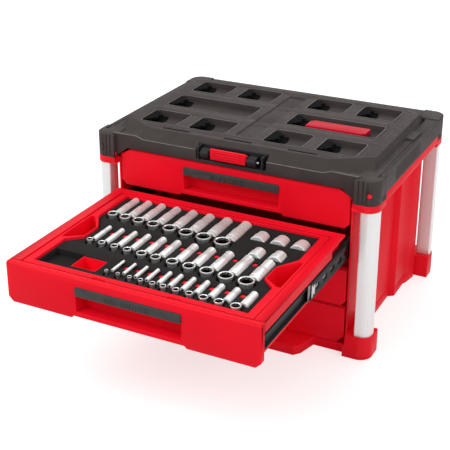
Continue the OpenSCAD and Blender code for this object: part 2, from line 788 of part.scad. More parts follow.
module tray_insert() {
    t = 2.5;
    low = front_z(2) + 6 + drawer_t + 0.5;
    color(red) translate([0, -pulled(2), 0]) tray_cup();
    color(red) translate([0, -pulled(2), 0]) difference() {
        translate([-tray_w / 2, tray_front, low]) cube([tray_w, tray_d, tray_top - low]);
        translate([0, 0, foam_low]) linear_extrude(60) foam_plan(0.3);
        translate([0, 0, foam_low]) linear_extrude(60) notch_plan(0);
        // hollow below the floor and behind the flange
        translate([0, 0, low - cut]) linear_extrude(tray_top - t - low + cut) difference() {
            translate([-tray_w / 2 + t, tray_front + t]) square([tray_w - 2 * t, tray_d - 2 * t]);
            foam_plan(t + 0.3);
            notch_plan(-t);
        }
        translate([0, 0, low - cut]) linear_extrude(foam_low - t - low + cut)
            translate([-tray_w / 2 + t, tray_front + t]) square([tray_w - 2 * t, tray_d - 2 * t]);
        // clear of the hand recess behind the drawer front
        translate([-grip_w / 2 - drawer_t - 1, tray_front - cut, low - cut])
            cube([grip_w + 2 * drawer_t + 2, 14, front_z(2) + grip_high + drawer_t + 1 - low + cut]);
        // two lips on the front edge
        for (x = [-62, 75]) translate([x - 12, tray_front - cut, tray_top - 2]) cube([24, 6, 5]);
    }
}

// Sockets stand in rows. Row data: [x of each upright socket], [its diameter]
back_x = [-176, -149, -120, -89, -55, -21, 14, 51];
back_d = [18, 19.3, 20.4, 22, 24, 25.5, 27, 29];
mid_x = [-154, -129, -103, -77, -48, -20, 12, 44, 77, 112, 149];
mid_d = [10.7, 12.4, 12.9, 14, 17.4, 17.8, 20, 21.5, 23.5, 25.5, 27.5];
front_x = [-66, -44, -22, -1, 21, 41, 64, 88, 113, 140, 169];
front_d = [6.2, 6.7, 7.7, 8.3, 9.9, 10.4, 11.4, 12.4, 14.4, 15.4, 17.4];
large = [[98, 86, 32], [135, 87, 33], [173, 86, 33], [119, 26, 29], [155, 30, 30]];
// Row data: y of the first and last upright socket, length of the first and last lying one
back_row = [45, 33, 66, 74];
mid_row = [-63, -77, 52, 68];
front_row = [-148, -156, 36, 42];
back_side = 3;
mid_side = 3;
front_side = 7;
lie_angle = 1;
lie_gap = 3;
// How far the lying sockets rise above the foam
lie_over = 7;

function row_y(row, i, n) = row[0] + (row[1] - row[0]) * i / (n - 1);
function row_len(row, i, n) = row[2] + (row[3] - row[2]) * i / (n - 1);

// Upright short socket: mouth up, square drive below
module short_socket(d, h) {
    difference() {
        union() {
            translate([0, 0, -h]) cylinder(d = 0.82 * d, h = h / 2 + eps);
            translate([0, 0, -h / 2]) cylinder(d = d, h = h / 2);
        }
        translate([0, 0, -h / 2 + 1]) cylinder(d = 0.8 * d, h = h, $fn = 6);
        translate([0, 0, -h - cut]) rotate(45) cylinder(d = 0.5 * d, h = h, $fn = 4);
    }
}

// Deep socket along +Y: drive end at the origin, slimmer hex end behind
module deep_socket(d, len) {
    rotate([-90, 0, 0]) difference() {
        union() {
            cylinder(d1 = d - 1.5, d2 = d, h = 0.75);
            translate([0, 0, 0.75]) cylinder(d = d, h = 0.55 * len);
            translate([0, 0, 0.55 * len]) cylinder(d1 = d, d2 = 0.9 * d, h = 0.05 * len + 0.75);
            translate([0, 0, 0.6 * len]) cylinder(d = 0.9 * d, h = 0.4 * len);
        }
        translate([0, 0, -cut]) rotate(45) cylinder(d = 0.55 * d, h = 0.3 * len, $fn = 4);
        translate([0, 0, 0.65 * len]) cylinder(d = 0.68 * d, h = len, $fn = 6);
    }
}

short_h = 24;
short_over = 6.5;

module short_row(xs, ds, row) {
    color(steel) translate([0, -pulled(2), 0]) for (i = [0:len(xs) - 1])
        translate([xs[i], row_y(row, i, len(xs)), foam_top + short_over])
            short_socket(ds[i], short_h);
}

// Places children where the lying sockets of a row start, tilted up towards the back
module at_lying(xs, ds, row, side) {
    for (i = [0:len(xs) - 1]) {
        $d = 0.88 * ds[i];
        $len = row_len(row, i, len(xs));
        translate([xs[i] + side, row_y(row, i, len(xs)) + ds[i] / 2 + lie_gap,
            foam_top + lie_over - $d / 2 - $len * sin(lie_angle)]) rotate([lie_angle, 0, 0]) children();
    }
}

module deep_row(xs, ds, row, side) {
    color(steel) translate([0, -pulled(2), 0]) at_lying(xs, ds, row, side)
        deep_socket($d, $len);
}

// Room for one lying socket: its own shape with clearance, open upwards
module lying_room() {
    g = 0.4;
    translate([0, -g, 0]) rotate([-90, 0, 0]) cylinder(d = $d + 2 * g, h = $len + 2 * g);
    translate([-$d / 2 - g, -g, 0]) cube([$d + 2 * g, $len + 2 * g, 40]);
    // window that shows the tray under the raised end
    translate([-$d / 2 - g, 0.6 * $len, -60]) cube([$d + 2 * g, 0.4 * $len + 2, 62]);
}

module foam_insert() {
    color(black) translate([0, -pulled(2), 0]) difference() {
        translate([0, 0, foam_low + 0.2]) linear_extrude(foam_top - foam_low - 0.2) foam_plan(0);
        foam_holes(back_x, back_d, back_row);
        foam_holes(mid_x, mid_d, mid_row);
        foam_holes(front_x, front_d, front_row);
        at_lying(back_x, back_d, back_row, back_side) lying_room();
        at_lying(mid_x, mid_d, mid_row, mid_side) lying_room();
        at_lying(front_x, front_d, front_row, front_side) lying_room();
        at_large() lying_room();
        compartment_plan_cut();
    }
}

// Open compartment that shows the tray, and the shallow step beside it
module compartment_plan_cut() {
    translate([0, 0, foam_low - cut]) linear_extrude(60) compartment_plan(0);
    translate([-190, -158, foam_top - 12]) cube([56 + eps, 50, 60]);
}

module compartment_plan(g) {
    translate([-134 - g, -151 - g]) square([48 + 2 * g, 40 + 2 * g]);
}

module foam_holes(xs, ds, row) {
    for (i = [0:len(xs) - 1]) translate([xs[i], row_y(row, i, len(xs)), foam_top]) {
        translate([0, 0, short_over - short_h - 0.3]) cylinder(d = 0.82 * ds[i] + 1, h = 60);
        // wider mouth that shows the socket's stem
        translate([0, -2, -14]) cylinder(d = ds[i] + 5, h = 60);
    }
}

module at_large() {
    for (s = large) translate([s[0], s[1] - 15, foam_top + lie_over - 0.47 * s[2]]) {
        $d = s[2] * 0.94;
        $len = 30;
        children();
    }
}

module sockets_large() {
    color(steel) translate([0, -pulled(2), 0]) at_large() deep_socket($d, $len);
}

base_frame();
mirror([1, 0, 0]) side_wall();  // side_wall_left
side_wall();  // side_wall_right
back_wall();
top_deck();
lid();
lid_pan(0);  // lid_pan_front
lid_pan(1);  // lid_pan_middle
lid_pan(2);  // lid_pan_rear
lid_badge();
mirror([1, 0, 0]) mirror([0, 1, 0]) post();  // post_front_left
mirror([0, 1, 0]) post();  // post_front_right
mirror([1, 0, 0]) post();  // post_rear_left
post();  // post_rear_right
tie_rods();
lid_pins();
lid_screws();
slide_screws();
latch_bracket();
latch_screws();
latch_pin();
latch_flap();
release_lever();
release_pin();
release_spring();
for (n = [1:4]) {
    slide_outer(n);
    slide_mid(n);
    slide_inner(n);
    ball_cage(n);
    drawer_shell(n);
    drawer_grip(n);
}
tray_insert();
foam_insert();
short_row(back_x, back_d, back_row);  // sockets_back_short
deep_row(back_x, back_d, back_row, back_side);  // sockets_back_deep
sockets_large();
short_row(mid_x, mid_d, mid_row);  // sockets_mid_short
deep_row(mid_x, mid_d, mid_row, mid_side);  // sockets_mid_deep
short_row(front_x, front_d, front_row);  // sockets_front_short
deep_row(front_x, front_d, front_row, front_side);  // sockets_front_deep
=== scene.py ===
"""Looks of the socket drawer box: moulded shells, posts, ball slides, foam and chrome sockets."""

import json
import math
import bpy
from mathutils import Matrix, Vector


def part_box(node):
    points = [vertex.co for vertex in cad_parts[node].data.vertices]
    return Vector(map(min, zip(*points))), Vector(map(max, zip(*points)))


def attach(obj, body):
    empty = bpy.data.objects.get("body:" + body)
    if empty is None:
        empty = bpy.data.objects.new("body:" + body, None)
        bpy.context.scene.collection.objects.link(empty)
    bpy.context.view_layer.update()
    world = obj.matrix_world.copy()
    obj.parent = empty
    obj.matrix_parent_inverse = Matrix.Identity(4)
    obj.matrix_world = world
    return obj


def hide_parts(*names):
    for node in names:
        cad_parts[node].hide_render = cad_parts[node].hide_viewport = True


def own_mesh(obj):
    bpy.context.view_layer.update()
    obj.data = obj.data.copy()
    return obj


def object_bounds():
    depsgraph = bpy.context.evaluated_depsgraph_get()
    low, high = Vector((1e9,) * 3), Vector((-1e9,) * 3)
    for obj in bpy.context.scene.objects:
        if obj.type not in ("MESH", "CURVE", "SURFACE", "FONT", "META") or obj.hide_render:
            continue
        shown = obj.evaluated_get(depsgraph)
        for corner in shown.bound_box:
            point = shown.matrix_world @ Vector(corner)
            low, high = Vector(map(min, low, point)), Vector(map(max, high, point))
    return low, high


bl_info = {
    "name": "Socket Drawer Box",
    "version": (1, 0, 0),
    "blender": (4, 5, 0),
    "location": "3D View > Sidebar > Drawer Box",
    "description": "Dresses the packed drawer box with rounded shells, sockets, ribs and finishes",
    "category": "Object",
}

import bmesh
import bpy
import numpy as np
from mathutils import Vector

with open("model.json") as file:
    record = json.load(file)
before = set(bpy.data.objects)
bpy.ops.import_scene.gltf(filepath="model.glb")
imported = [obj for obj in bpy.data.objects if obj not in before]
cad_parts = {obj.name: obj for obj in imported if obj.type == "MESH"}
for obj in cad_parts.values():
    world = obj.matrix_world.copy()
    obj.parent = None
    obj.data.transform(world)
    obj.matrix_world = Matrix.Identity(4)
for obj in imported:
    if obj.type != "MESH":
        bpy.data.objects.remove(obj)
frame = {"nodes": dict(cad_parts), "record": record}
CAD_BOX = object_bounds()
NODE_BODY = {
    name: body
    for body, names in frame["record"]["behaviour"]["bodies"].items()
    for name in names
}
MM = 0.001


# ---------- sizes and colours that a user would change ----------


def colour_property(name, description, value):
    return bpy.props.FloatVectorProperty(
        name=name, description=description, default=value, subtype="COLOR", min=0, max=1
    )


def length_property(name, description, value):
    return bpy.props.FloatProperty(
        name=name, description=description, default=value, unit="LENGTH", min=0
    )


def angle_property(name, description, degrees):
    return bpy.props.FloatProperty(
        name=name,
        description=description,
        default=math.radians(degrees),
        subtype="ANGLE",
        unit="ROTATION",
    )


class BoxFinishes(bpy.types.PropertyGroup):
    """Colours of the finishes"""

    red: colour_property("Red shell", "Moulded red plastic", (0.87, 0.0045, 0.019))
    charcoal: colour_property("Lid", "Charcoal plastic of the lid", (0.049, 0.0395, 0.0375))
    # Painted highlight: pale colour of the lid's pocket lips and front ridge.
    painted_lid_highlight: colour_property("Lid lips", "Rubbed lips and ridge of the lid", (0.150, 0.136, 0.132))
    badge: colour_property("Badge", "Bare enamelled plate on the lid", (0.56, 0.004, 0.022))
    rubber: colour_property("Grip rubber", "Bars over the hand recesses", (0.036, 0.034, 0.033))
    black: colour_property("Black parts", "Painted slides and latch bracket", (0.008, 0.008, 0.009))
    foam: colour_property("Foam", "Closed-cell foam around the sockets", (0.016, 0.0145, 0.014))
    alloy: colour_property("Posts", "Drawn aluminium", (0.76, 0.755, 0.755))
    zinc: colour_property("Zinc", "Screws, rods and pins", (0.56, 0.56, 0.55))
    chrome: colour_property("Chrome", "Sockets", (0.77, 0.80, 0.79))
    # Painted shade: dark colour inside the sockets.
    bore: colour_property("Socket bores", "Dark inside of the sockets", (0.035, 0.030, 0.028))


class BoxShape(bpy.types.PropertyGroup):
    """Sizes of edges, ribs, lips, corners and windows"""

    shell_edge: length_property("Shell edge", "Rounding of moulded edges", 0.9 * MM)
    lid_edge: length_property("Lid edge", "Rounding of the lid's edges", 0.9 * MM)
    metal_edge: length_property("Metal edge", "Rounding of sheet and pins", 0.25 * MM)
    rib_radius: length_property("Rib radius", "Half width of the fine ribs", 0.8 * MM)
    flange_ribs: bpy.props.IntProperty(
        name="Flange ribs", description="Fine ribs on each side of the lid", default=24, min=2
    )
    lip: length_property("Pocket lip", "Half width of the lip round a lid pocket", 0.7 * MM)
    post_corner: length_property("Post corner", "Radius of a post's outer corner", 18 * MM)
    cap_corner: length_property("Cap corner", "Radius of the corner of feet and caps", 24 * MM)
    window: length_property("Foam windows", "Width of the windows between lying sockets", 9 * MM)


class BoxStage(bpy.types.PropertyGroup):
    """Camera and floor"""

    camera_place: bpy.props.FloatVectorProperty(
        name="Camera place",
        description="Where the photograph was taken from",
        default=(0.768, -1.749, 1.019),
        subtype="TRANSLATION",
        unit="LENGTH",
    )
    camera_yaw: angle_property("Camera yaw", "Turn of the camera to the left", 26.94)
    camera_pitch: angle_property("Camera pitch", "Tilt of the camera below the horizon", 22.33)
    focal: bpy.props.FloatProperty(
        name="Focal length", description="Lens in millimetres", default=83.17, min=1
    )
    shift: bpy.props.FloatVectorProperty(
        name="Shift",
        description="Shift of the lens that frames the box",
        default=(0.0127, -0.111),
        size=2,
    )
    floor_size: length_property("Floor", "Side of the pale floor", 14.0)


# ---------- finishes ----------

NOISE_LOW = 0.3
NOISE_HIGH = 0.7


def node(tree, kind, values=None, **settings):
    """A new node of a tree, with its settings and the values of its inputs."""
    made = tree.nodes.new(kind)
    for key, value in settings.items():
        setattr(made, key, value)
    for key, value in (values or {}).items():
        made.inputs[key].default_value = value
    return made


class Finish:
    """A Principled shader whose colour, roughness and relief vary over Object coordinates."""

    def __init__(self, name, rough, metallic=0.0, **inputs):
        self.material = bpy.data.materials.new(name)
        self.material.use_nodes = True
        self.tree = self.material.node_tree
        self.shader = self.tree.nodes["Principled BSDF"]
        self.shader.inputs["Roughness"].default_value = rough
        self.shader.inputs["Metallic"].default_value = metallic
        for key, value in inputs.items():
            self.shader.inputs[key.replace("_", " ")].default_value = value
        self.place = node(self.tree, "ShaderNodeTexCoord").outputs["Object"]
        self.colour = None
        self.normal = None

    def link(self, start, end):
        self.tree.links.new(start, end)

    def noise(self, scale, detail=2.0, stretch=(1, 1, 1)):
        """Soft noise, scale features to the metre, stretched by its scale on each axis."""
        mapping = node(self.tree, "ShaderNodeMapping", {"Scale": stretch})
        self.link(self.place, mapping.inputs["Vector"])
        made = node(self.tree, "ShaderNodeTexNoise", {"Scale": scale, "Detail": detail})
        self.link(mapping.outputs["Vector"], made.inputs["Vector"])
        return made.outputs["Fac"]

    def cells(self, scale):
        """Distance to the nearest of scattered points: a pebbled or foamed grain."""
        made = node(self.tree, "ShaderNodeTexVoronoi", {"Scale": scale})
        self.link(self.place, made.inputs["Vector"])
        return made.outputs["Distance"]

    def tint(self, colour, spread, fac):
        """Base colour that runs between darker and lighter versions of colour."""
        ramp = node(self.tree, "ShaderNodeValToRGB")
        places = (NOISE_LOW, NOISE_HIGH)
        factors = (1 - spread, 1 + spread)
        for element, place, factor in zip(ramp.color_ramp.elements, places, factors):
            element.position = place
            element.color = (*[min(1.0, c * factor) for c in colour], 1)
        self.link(fac, ramp.inputs["Fac"])
        self.colour = ramp.outputs["Color"]
        self.link(self.colour, self.shader.inputs["Base Color"])

    def cover(self, share, colour):
        """Lays another colour over the base colour, by share."""
        mix = node(self.tree, "ShaderNodeMix", data_type="RGBA")
        mix.inputs["B"].default_value = (*colour, 1)
        self.link(share, mix.inputs["Factor"])
        self.link(self.colour, mix.inputs["A"])
        self.link(mix.outputs["Result"], self.shader.inputs["Base Color"])

    def painted_edge_highlight(self, colour, start=0.52, end=0.60, most=0.55):
        """Convex edges are painted a little paler than the faces: a painted highlight."""
        geometry = node(self.tree, "ShaderNodeNewGeometry")
        limits = {"From Min": start, "From Max": end, "To Min": 0.0, "To Max": most}
        edge = node(self.tree, "ShaderNodeMapRange", limits)
        self.link(geometry.outputs["Pointiness"], edge.inputs["Value"])
        self.cover(edge.outputs["Result"], colour)

    def inside(self, attribute, colour):
        """Another colour where the piece's own attribute is one."""
        where = node(self.tree, "ShaderNodeAttribute", attribute_name=attribute)
        self.cover(where.outputs["Fac"], colour)

    def rub(self, fac, low, high):
        """Roughness that varies from low to high."""
        limits = {"From Min": NOISE_LOW, "From Max": NOISE_HIGH, "To Min": low, "To Max": high}
        spread = node(self.tree, "ShaderNodeMapRange", limits)
        self.link(fac, spread.inputs["Value"])
        self.link(spread.outputs["Result"], self.shader.inputs["Roughness"])

    def relief(self, height, strength, depth):
        """Relief of the given depth in metres, on top of what is there."""
        bump = node(self.tree, "ShaderNodeBump", {"Strength": strength, "Distance": depth})
        self.link(height, bump.inputs["Height"])
        if self.normal:
            self.link(self.normal, bump.inputs["Normal"])
        self.normal = bump.outputs["Normal"]
        self.link(self.normal, self.shader.inputs["Normal"])


def red_plastic(colours):
    """Moulded shell with a fine grain over slow waves."""
    shell = Finish("red_moulded_plastic", 0.46, Specular_IOR_Level=0.08)
    shell.tint(colours.red, 0.05, shell.noise(9.0, 3.0))
    # Edges painted pinkish pale: a painted highlight.
    shell.painted_edge_highlight([min(1.0, c * 1.25 + 0.03) for c in colours.red])
    shell.rub(shell.noise(260.0, 4.0), 0.42, 0.52)
    shell.relief(shell.noise(2600.0, 2.0), 0.10, 0.0002)
    shell.relief(shell.noise(6.0, 1.0), 0.10, 0.0006)
    return shell


def badge(colours):
    """Smooth enamel of the bare plate."""
    plate = Finish("badge_enamel", 0.40, Specular_IOR_Level=0.12)
    plate.tint(colours.badge, 0.03, plate.noise(30.0))
    plate.relief(plate.noise(700.0), 0.05, 0.0001)
    return plate


def lid_plastic(colours):
    """Pebbled charcoal plastic, with its edges painted paler as a highlight."""
    lid = Finish("charcoal_moulded_plastic", 0.60, Specular_IOR_Level=0.12)
    lid.tint(colours.charcoal, 0.14, lid.noise(22.0, 6.0))
    # Painted highlight: edges paler than the charcoal faces.
    lid.painted_edge_highlight([c * 1.9 + 0.012 for c in colours.charcoal])
    lid.rub(lid.noise(120.0, 4.0), 0.50, 0.66)
    lid.relief(lid.cells(1300.0), 0.22, 0.0003)
    lid.relief(lid.noise(3000.0, 2.0), 0.14, 0.0002)
    return lid


def painted_lid_highlight(colours):
    """Painted highlight: paler lips and ridge of the lid."""
    lips = Finish("charcoal_painted_highlight", 0.5, Specular_IOR_Level=0.25)
    lips.tint(colours.painted_lid_highlight, 0.2, lips.noise(70.0, 5.0))
    lips.relief(lips.noise(3000.0, 2.0), 0.14, 0.0002)
    return lips


def black_plastic(colours):
    """Latch bracket."""
    black = Finish("black_moulded_plastic", 0.5, Specular_IOR_Level=0.2)
    black.tint(colours.black, 0.2, black.noise(40.0))
    # Painted highlight: edges paler than the black faces.
    black.painted_edge_highlight([c * 3 + 0.02 for c in colours.black])
    black.relief(black.noise(2200.0), 0.10, 0.0002)
    return black


def recess(colours):
    """Painted shade: matt and nearly black, laid where undercuts and slots lie in shadow."""
    dark = Finish("shaded_recess", 0.85, Specular_IOR_Level=0.04)
    dark.tint([c * 0.7 for c in colours.black], 0.2, dark.noise(60.0))
    dark.relief(dark.noise(1800.0), 0.1, 0.0002)
    return dark


def grip_rubber(colours):
    """Dull rubber with a dusty sheen."""
    rubber = Finish("grip_rubber", 0.72, Specular_IOR_Level=0.35, Sheen_Weight=0.06)
    rubber.tint(colours.rubber, 0.18, rubber.noise(60.0, 5.0))
    rubber.rub(rubber.noise(300.0, 4.0), 0.62, 0.80)
    rubber.relief(rubber.noise(1800.0, 3.0), 0.18, 0.0003)
    return rubber


def post_aluminium(colours):
    """Draw lines that run up the posts."""
    alloy = Finish("drawn_aluminium", 0.5, 0.75, Anisotropic=0.2)
    alloy.tint(colours.alloy, 0.025, alloy.noise(300.0, 2.0, (1, 1, 0.006)))
    alloy.rub(alloy.noise(900.0, 4.0, (1, 1, 0.004)), 0.46, 0.54)
    alloy.relief(alloy.noise(1500.0, 3.0, (1, 1, 0.004)), 0.03, 0.0001)
    return alloy


def steel(colours):
    """Zinc-plated screws, rods and pins."""
    zinc = Finish("zinc_plated_steel", 0.35, 1.0)
    zinc.tint(colours.zinc, 0.12, zinc.noise(160.0, 4.0))
    zinc.rub(zinc.noise(420.0, 3.0), 0.26, 0.44)
    zinc.relief(zinc.noise(1400.0), 0.06, 0.0002)
    return zinc


def black_steel(colours):
    """Stoved black slides, rolled along their length."""
    slide = Finish("black_stoved_steel", 0.46, Specular_IOR_Level=0.14)
    slide.tint(colours.black, 0.2, slide.noise(50.0, 4.0))
    # Painted highlight: edges paler than the black faces, like the bright line along a slide.
    slide.painted_edge_highlight([c * 4 + 0.03 for c in colours.black])
    slide.rub(slide.noise(240.0, 4.0), 0.40, 0.54)
    slide.relief(slide.noise(900.0, 3.0, (1, 0.05, 1)), 0.06, 0.0002)
    return slide


def cage_steel(colours):
    """Polished ball cages, painted dark as shade where they show through the slides' slots."""
    cage = Finish("bright_cage_steel", 0.24, 1.0)
    cage.tint([c * 0.35 for c in colours.zinc], 0.08, cage.noise(300.0, 3.0, (1, 0.05, 1)))
    cage.rub(cage.noise(500.0, 3.0), 0.18, 0.32)
    return cage


def foam(colours):
    """Closed cells under a slow unevenness."""
    block = Finish("closed_cell_foam", 0.96, Specular_IOR_Level=0.1, Sheen_Weight=0.03)
    block.tint(colours.foam, 0.3, block.noise(1500.0, 5.0))
    block.relief(block.cells(1500.0), 0.55, 0.0004)
    block.relief(block.noise(500.0, 4.0), 0.25, 0.0005)
    return block


def satin_chrome(colours, name, metallic):
    """Satin plating, painted dark as shade inside the sockets."""
    plating = Finish(name, 0.32, metallic)
    plating.tint(colours.chrome, 0.05, plating.noise(60.0, 3.0))
    # Painted shade inside the socket from the mouth inwards.
    plating.inside("bore", colours.bore)
    plating.rub(plating.noise(220.0, 5.0), 0.24, 0.36)
    plating.relief(plating.noise(500.0, 2.0), 0.02, 0.00002)
    return plating


def chrome(colours):
    """Lying sockets, which mirror the pale room."""
    return satin_chrome(colours, "satin_chrome", 0.32)


def upright_chrome(colours):
    """Upright sockets, which mirror the dark foam."""
    return satin_chrome(colours, "satin_upright_chrome", 0.85)


FINISH_MAKERS = (
    red_plastic, badge, lid_plastic, painted_lid_highlight, black_plastic, recess, grip_rubber,
    post_aluminium, steel, black_steel, cage_steel, foam, chrome, upright_chrome,
)
FINISHES = {}


def finish_of(name):
    """The material of a finish. All are made when the first is asked for."""
    if not FINISHES:
        colours = bpy.context.scene.box_finishes
        FINISHES.update({make.__name__: make(colours).material for make in FINISH_MAKERS})
    return FINISHES[name]


# ---------- making pieces ----------

# Doubles closer than WELD are merged. Edges sharper than these angles stay, or are rounded
WELD = 0.002 * MM
FLAT = math.radians(0.6)
SMOOTH = math.radians(38)
PRISM_ANGLE = math.radians(40)
SHELL_ANGLE = math.radians(28)

# Signs of X and Y at the corners of a box, from the far right one anticlockwise
CORNERS = ((1, 1), (-1, 1), (-1, -1), (1, -1))


def show(name, mesh):
    """A new object at the origin that holds mesh."""
    made = bpy.data.objects.new(name, mesh)
    bpy.context.scene.collection.objects.link(made)
    return made


def mesh_of(name, shape):
    """A mesh with the faces of a bmesh, which is used up."""
    mesh = bpy.data.meshes.new(name)
    shape.to_mesh(mesh)
    shape.free()
    return mesh


def smooth(mesh):
    """Shades every face smooth."""
    mesh.polygons.foreach_set("use_smooth", [True] * len(mesh.polygons))


def paint(made, finish):
    """Gives a piece one finish, in place of what it had."""
    made.data.materials.clear()
    made.data.materials.append(finish_of(finish))


def settle(made, body, slot, *nodes):
    """Gives a finished piece its body and hides the CAD nodes it stands for; slot is not used."""
    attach(made, body)
    if nodes:
        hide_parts(*nodes)


def evaluated(made):
    """Replaces a piece's live modifiers by their result."""
    graph = bpy.context.evaluated_depsgraph_get()
    mesh = bpy.data.meshes.new_from_object(made.evaluated_get(graph))
    made.modifiers.clear()
    made.data = mesh


def bevelled(made, width, segments, angle):
    """Adds a live bevel to the edges sharper than angle."""
    bevel = made.modifiers.new("edge", "BEVEL")
    bevel.width = width
    bevel.segments = segments
    bevel.limit_method = "ANGLE"
    bevel.angle_limit = angle
    return bevel


def welded(cad_node):
    """The CAD node's triangles as one joined mesh, with flat faces in few triangles."""
    shape = bmesh.new()
    shape.from_mesh(frame["nodes"][cad_node].data)
    bmesh.ops.remove_doubles(shape, verts=shape.verts, dist=WELD)
    bmesh.ops.dissolve_limit(
        shape,
        angle_limit=FLAT,
        use_dissolve_boundaries=False,
        verts=shape.verts,
        edges=shape.edges,
    )
    bmesh.ops.triangulate(shape, faces=shape.faces, quad_method="BEAUTY", ngon_method="BEAUTY")
    return shape


def arc(centre, radius, start, end, count):
    """Points of an arc from start to end, in degrees."""
    turns = np.radians(np.linspace(start, end, count))
    return [(centre[0] + radius * math.cos(a), centre[1] + radius * math.sin(a)) for a in turns]


def rectangle(x0, y0, x1, y1):
    """Outline of a box with sharp corners."""
    return [(x0, y0), (x1, y0), (x1, y1), (x0, y1)]


def round_box(x0, y0, x1, y1, radii, count=7):
    """Outline of a box whose corners, in the order of CORNERS, have these radii."""
    points = []
    for quarter, ((right, far), radius) in enumerate(zip(CORNERS, radii)):
        x = (x1 if right > 0 else x0) - right * radius
        y = (y1 if far > 0 else y0) - far * radius
        points += arc((x, y), radius, 90 * quarter, 90 * quarter + 90, count)
    return points


def in_mm(outline):
    """An outline written in millimetres, in metres."""
    return [(x * MM, y * MM) for x, y in outline]


def add_prism(shape, outline, low, high):
    """Adds a closed upright prism over an outline."""
    under = [shape.verts.new((x, y, low)) for x, y in outline]
    over = [shape.verts.new((x, y, high)) for x, y in outline]
    faces = [shape.faces.new(under), shape.faces.new(over)]
    for i in range(len(outline)):
        j = (i + 1) % len(outline)
        faces.append(shape.faces.new((under[i], under[j], over[j], over[i])))
    bmesh.ops.recalc_face_normals(shape, faces=faces)


def prisms(name, rows, finish=None, edge=0.0):
    """A piece made of prisms, each (outline, low, high), with its edges rounded by edge."""
    shape = bmesh.new()
    for outline, low, high in rows:
        add_prism(shape, outline, low, high)
    made = show(name, mesh_of(name, shape))
    if edge:
        bevelled(made, edge, segments=2, angle=PRISM_ANGLE)
        evaluated(made)
    smooth(made.data)
    made.data.set_sharp_from_angle(angle=SMOOTH)
    if finish:
        paint(made, finish)
    return made


def rounded(cad_node, slot, edge, segments=2, cutter=None):
    """The CAD node's shape with its sharp edges rounded, in place of the node."""
    name = cad_node + "_rounded"
    made = show(name, mesh_of(name, welded(cad_node)))
    smooth(made.data)
    if cutter:
        hollow = made.modifiers.new("cut", "BOOLEAN")
        hollow.object = cutter
        hollow.solver = "EXACT"
    bevel = bevelled(made, edge, segments, SHELL_ANGLE)
    bevel.use_clamp_overlap = False
    bevel.loop_slide = False
    bevel.harden_normals = True
    bevel.miter_outer = "MITER_SHARP"
    evaluated(made)
    if cutter:
        bpy.data.objects.remove(cutter)
    paint(made, slot)
    settle(made, NODE_BODY[cad_node], slot, cad_node)


# ---------- ribs, copies and beads grown by Geometry Nodes ----------

RIB_SIDES = 10
BEAD_SIDES = 8
RADIUS_INPUT = ("Radius", "NodeSocketFloat", 0.7 * MM)
FINISH_INPUT = ("Finish", "NodeSocketMaterial", None)
ROW_INPUTS = [
    ("Count", "NodeSocketInt", 10),
    ("First", "NodeSocketVector", (0, 0, 0)),
    ("Step", "NodeSocketVector", (5 * MM, 0, 0)),
    RADIUS_INPUT,
    FINISH_INPUT,
]


def new_tree(name, inputs):
    """Geometry tree with named inputs, each (name, socket type, default), and its input node."""
    tree = bpy.data.node_groups.new(name, "GeometryNodeTree")
    for label, kind, value in inputs:
        socket = tree.interface.new_socket(label, in_out="INPUT", socket_type=kind)
        if value is not None:
            socket.default_value = value
    tree.interface.new_socket("Geometry", in_out="OUTPUT", socket_type="NodeSocketGeometry")
    return tree, node(tree, "NodeGroupInput")


def finish_tree(tree, geometry, start):
    """Realises the instances, sets the finish and ends the tree."""
    realised = node(tree, "GeometryNodeRealizeInstances")
    painted = node(tree, "GeometryNodeSetMaterial")
    end = node(tree, "NodeGroupOutput")
    tree.links.new(geometry, realised.inputs["Geometry"])
    tree.links.new(realised.outputs["Geometry"], painted.inputs["Geometry"])
    tree.links.new(start.outputs["Finish"], painted.inputs["Material"])
    tree.links.new(painted.outputs["Geometry"], end.inputs["Geometry"])
    return tree


def row_points(tree, start):
    """Points in a row, which take the shape that is linked to the node given back."""
    line = node(tree, "GeometryNodeMeshLine", mode="OFFSET")
    for label, socket in (("Count", "Count"), ("First", "Start Location"), ("Step", "Offset")):
        tree.links.new(start.outputs[label], line.inputs[socket])
    place = node(tree, "GeometryNodeInstanceOnPoints")
    tree.links.new(line.outputs["Mesh"], place.inputs["Points"])
    return place


def round_bar(tree, start, path, sides):
    """A bar with a round section along a curve."""
    section = node(tree, "GeometryNodeCurvePrimitiveCircle", {"Resolution": sides})
    tree.links.new(start.outputs["Radius"], section.inputs["Radius"])
    bar = node(tree, "GeometryNodeCurveToMesh", {"Fill Caps": True})
    tree.links.new(path.outputs["Curve"], bar.inputs["Curve"])
    tree.links.new(section.outputs["Curve"], bar.inputs["Profile Curve"])
    return bar.outputs["Mesh"]


def rib_tree():
    """Round-backed ribs of one length, side by side."""
    along = ("Along", "NodeSocketVector", (0, 0, 10 * MM))
    tree, start = new_tree("row_of_ribs", [*ROW_INPUTS, along])
    place = row_points(tree, start)
    spine = node(tree, "GeometryNodeCurvePrimitiveLine")
    tree.links.new(start.outputs["Along"], spine.inputs["End"])
    tree.links.new(round_bar(tree, start, spine, RIB_SIDES), place.inputs["Instance"])
    return finish_tree(tree, place.outputs["Instances"], start)


def copy_tree():
    """Copies of one shape in a row."""
    tree, start = new_tree("row_of_copies", [*ROW_INPUTS, ("Shape", "NodeSocketObject", None)])
    place = row_points(tree, start)
    shape = node(tree, "GeometryNodeObjectInfo", {"As Instance": False})
    tree.links.new(start.outputs["Shape"], shape.inputs["Object"])
    tree.links.new(shape.outputs["Geometry"], place.inputs["Instance"])
    return finish_tree(tree, place.outputs["Instances"], start)


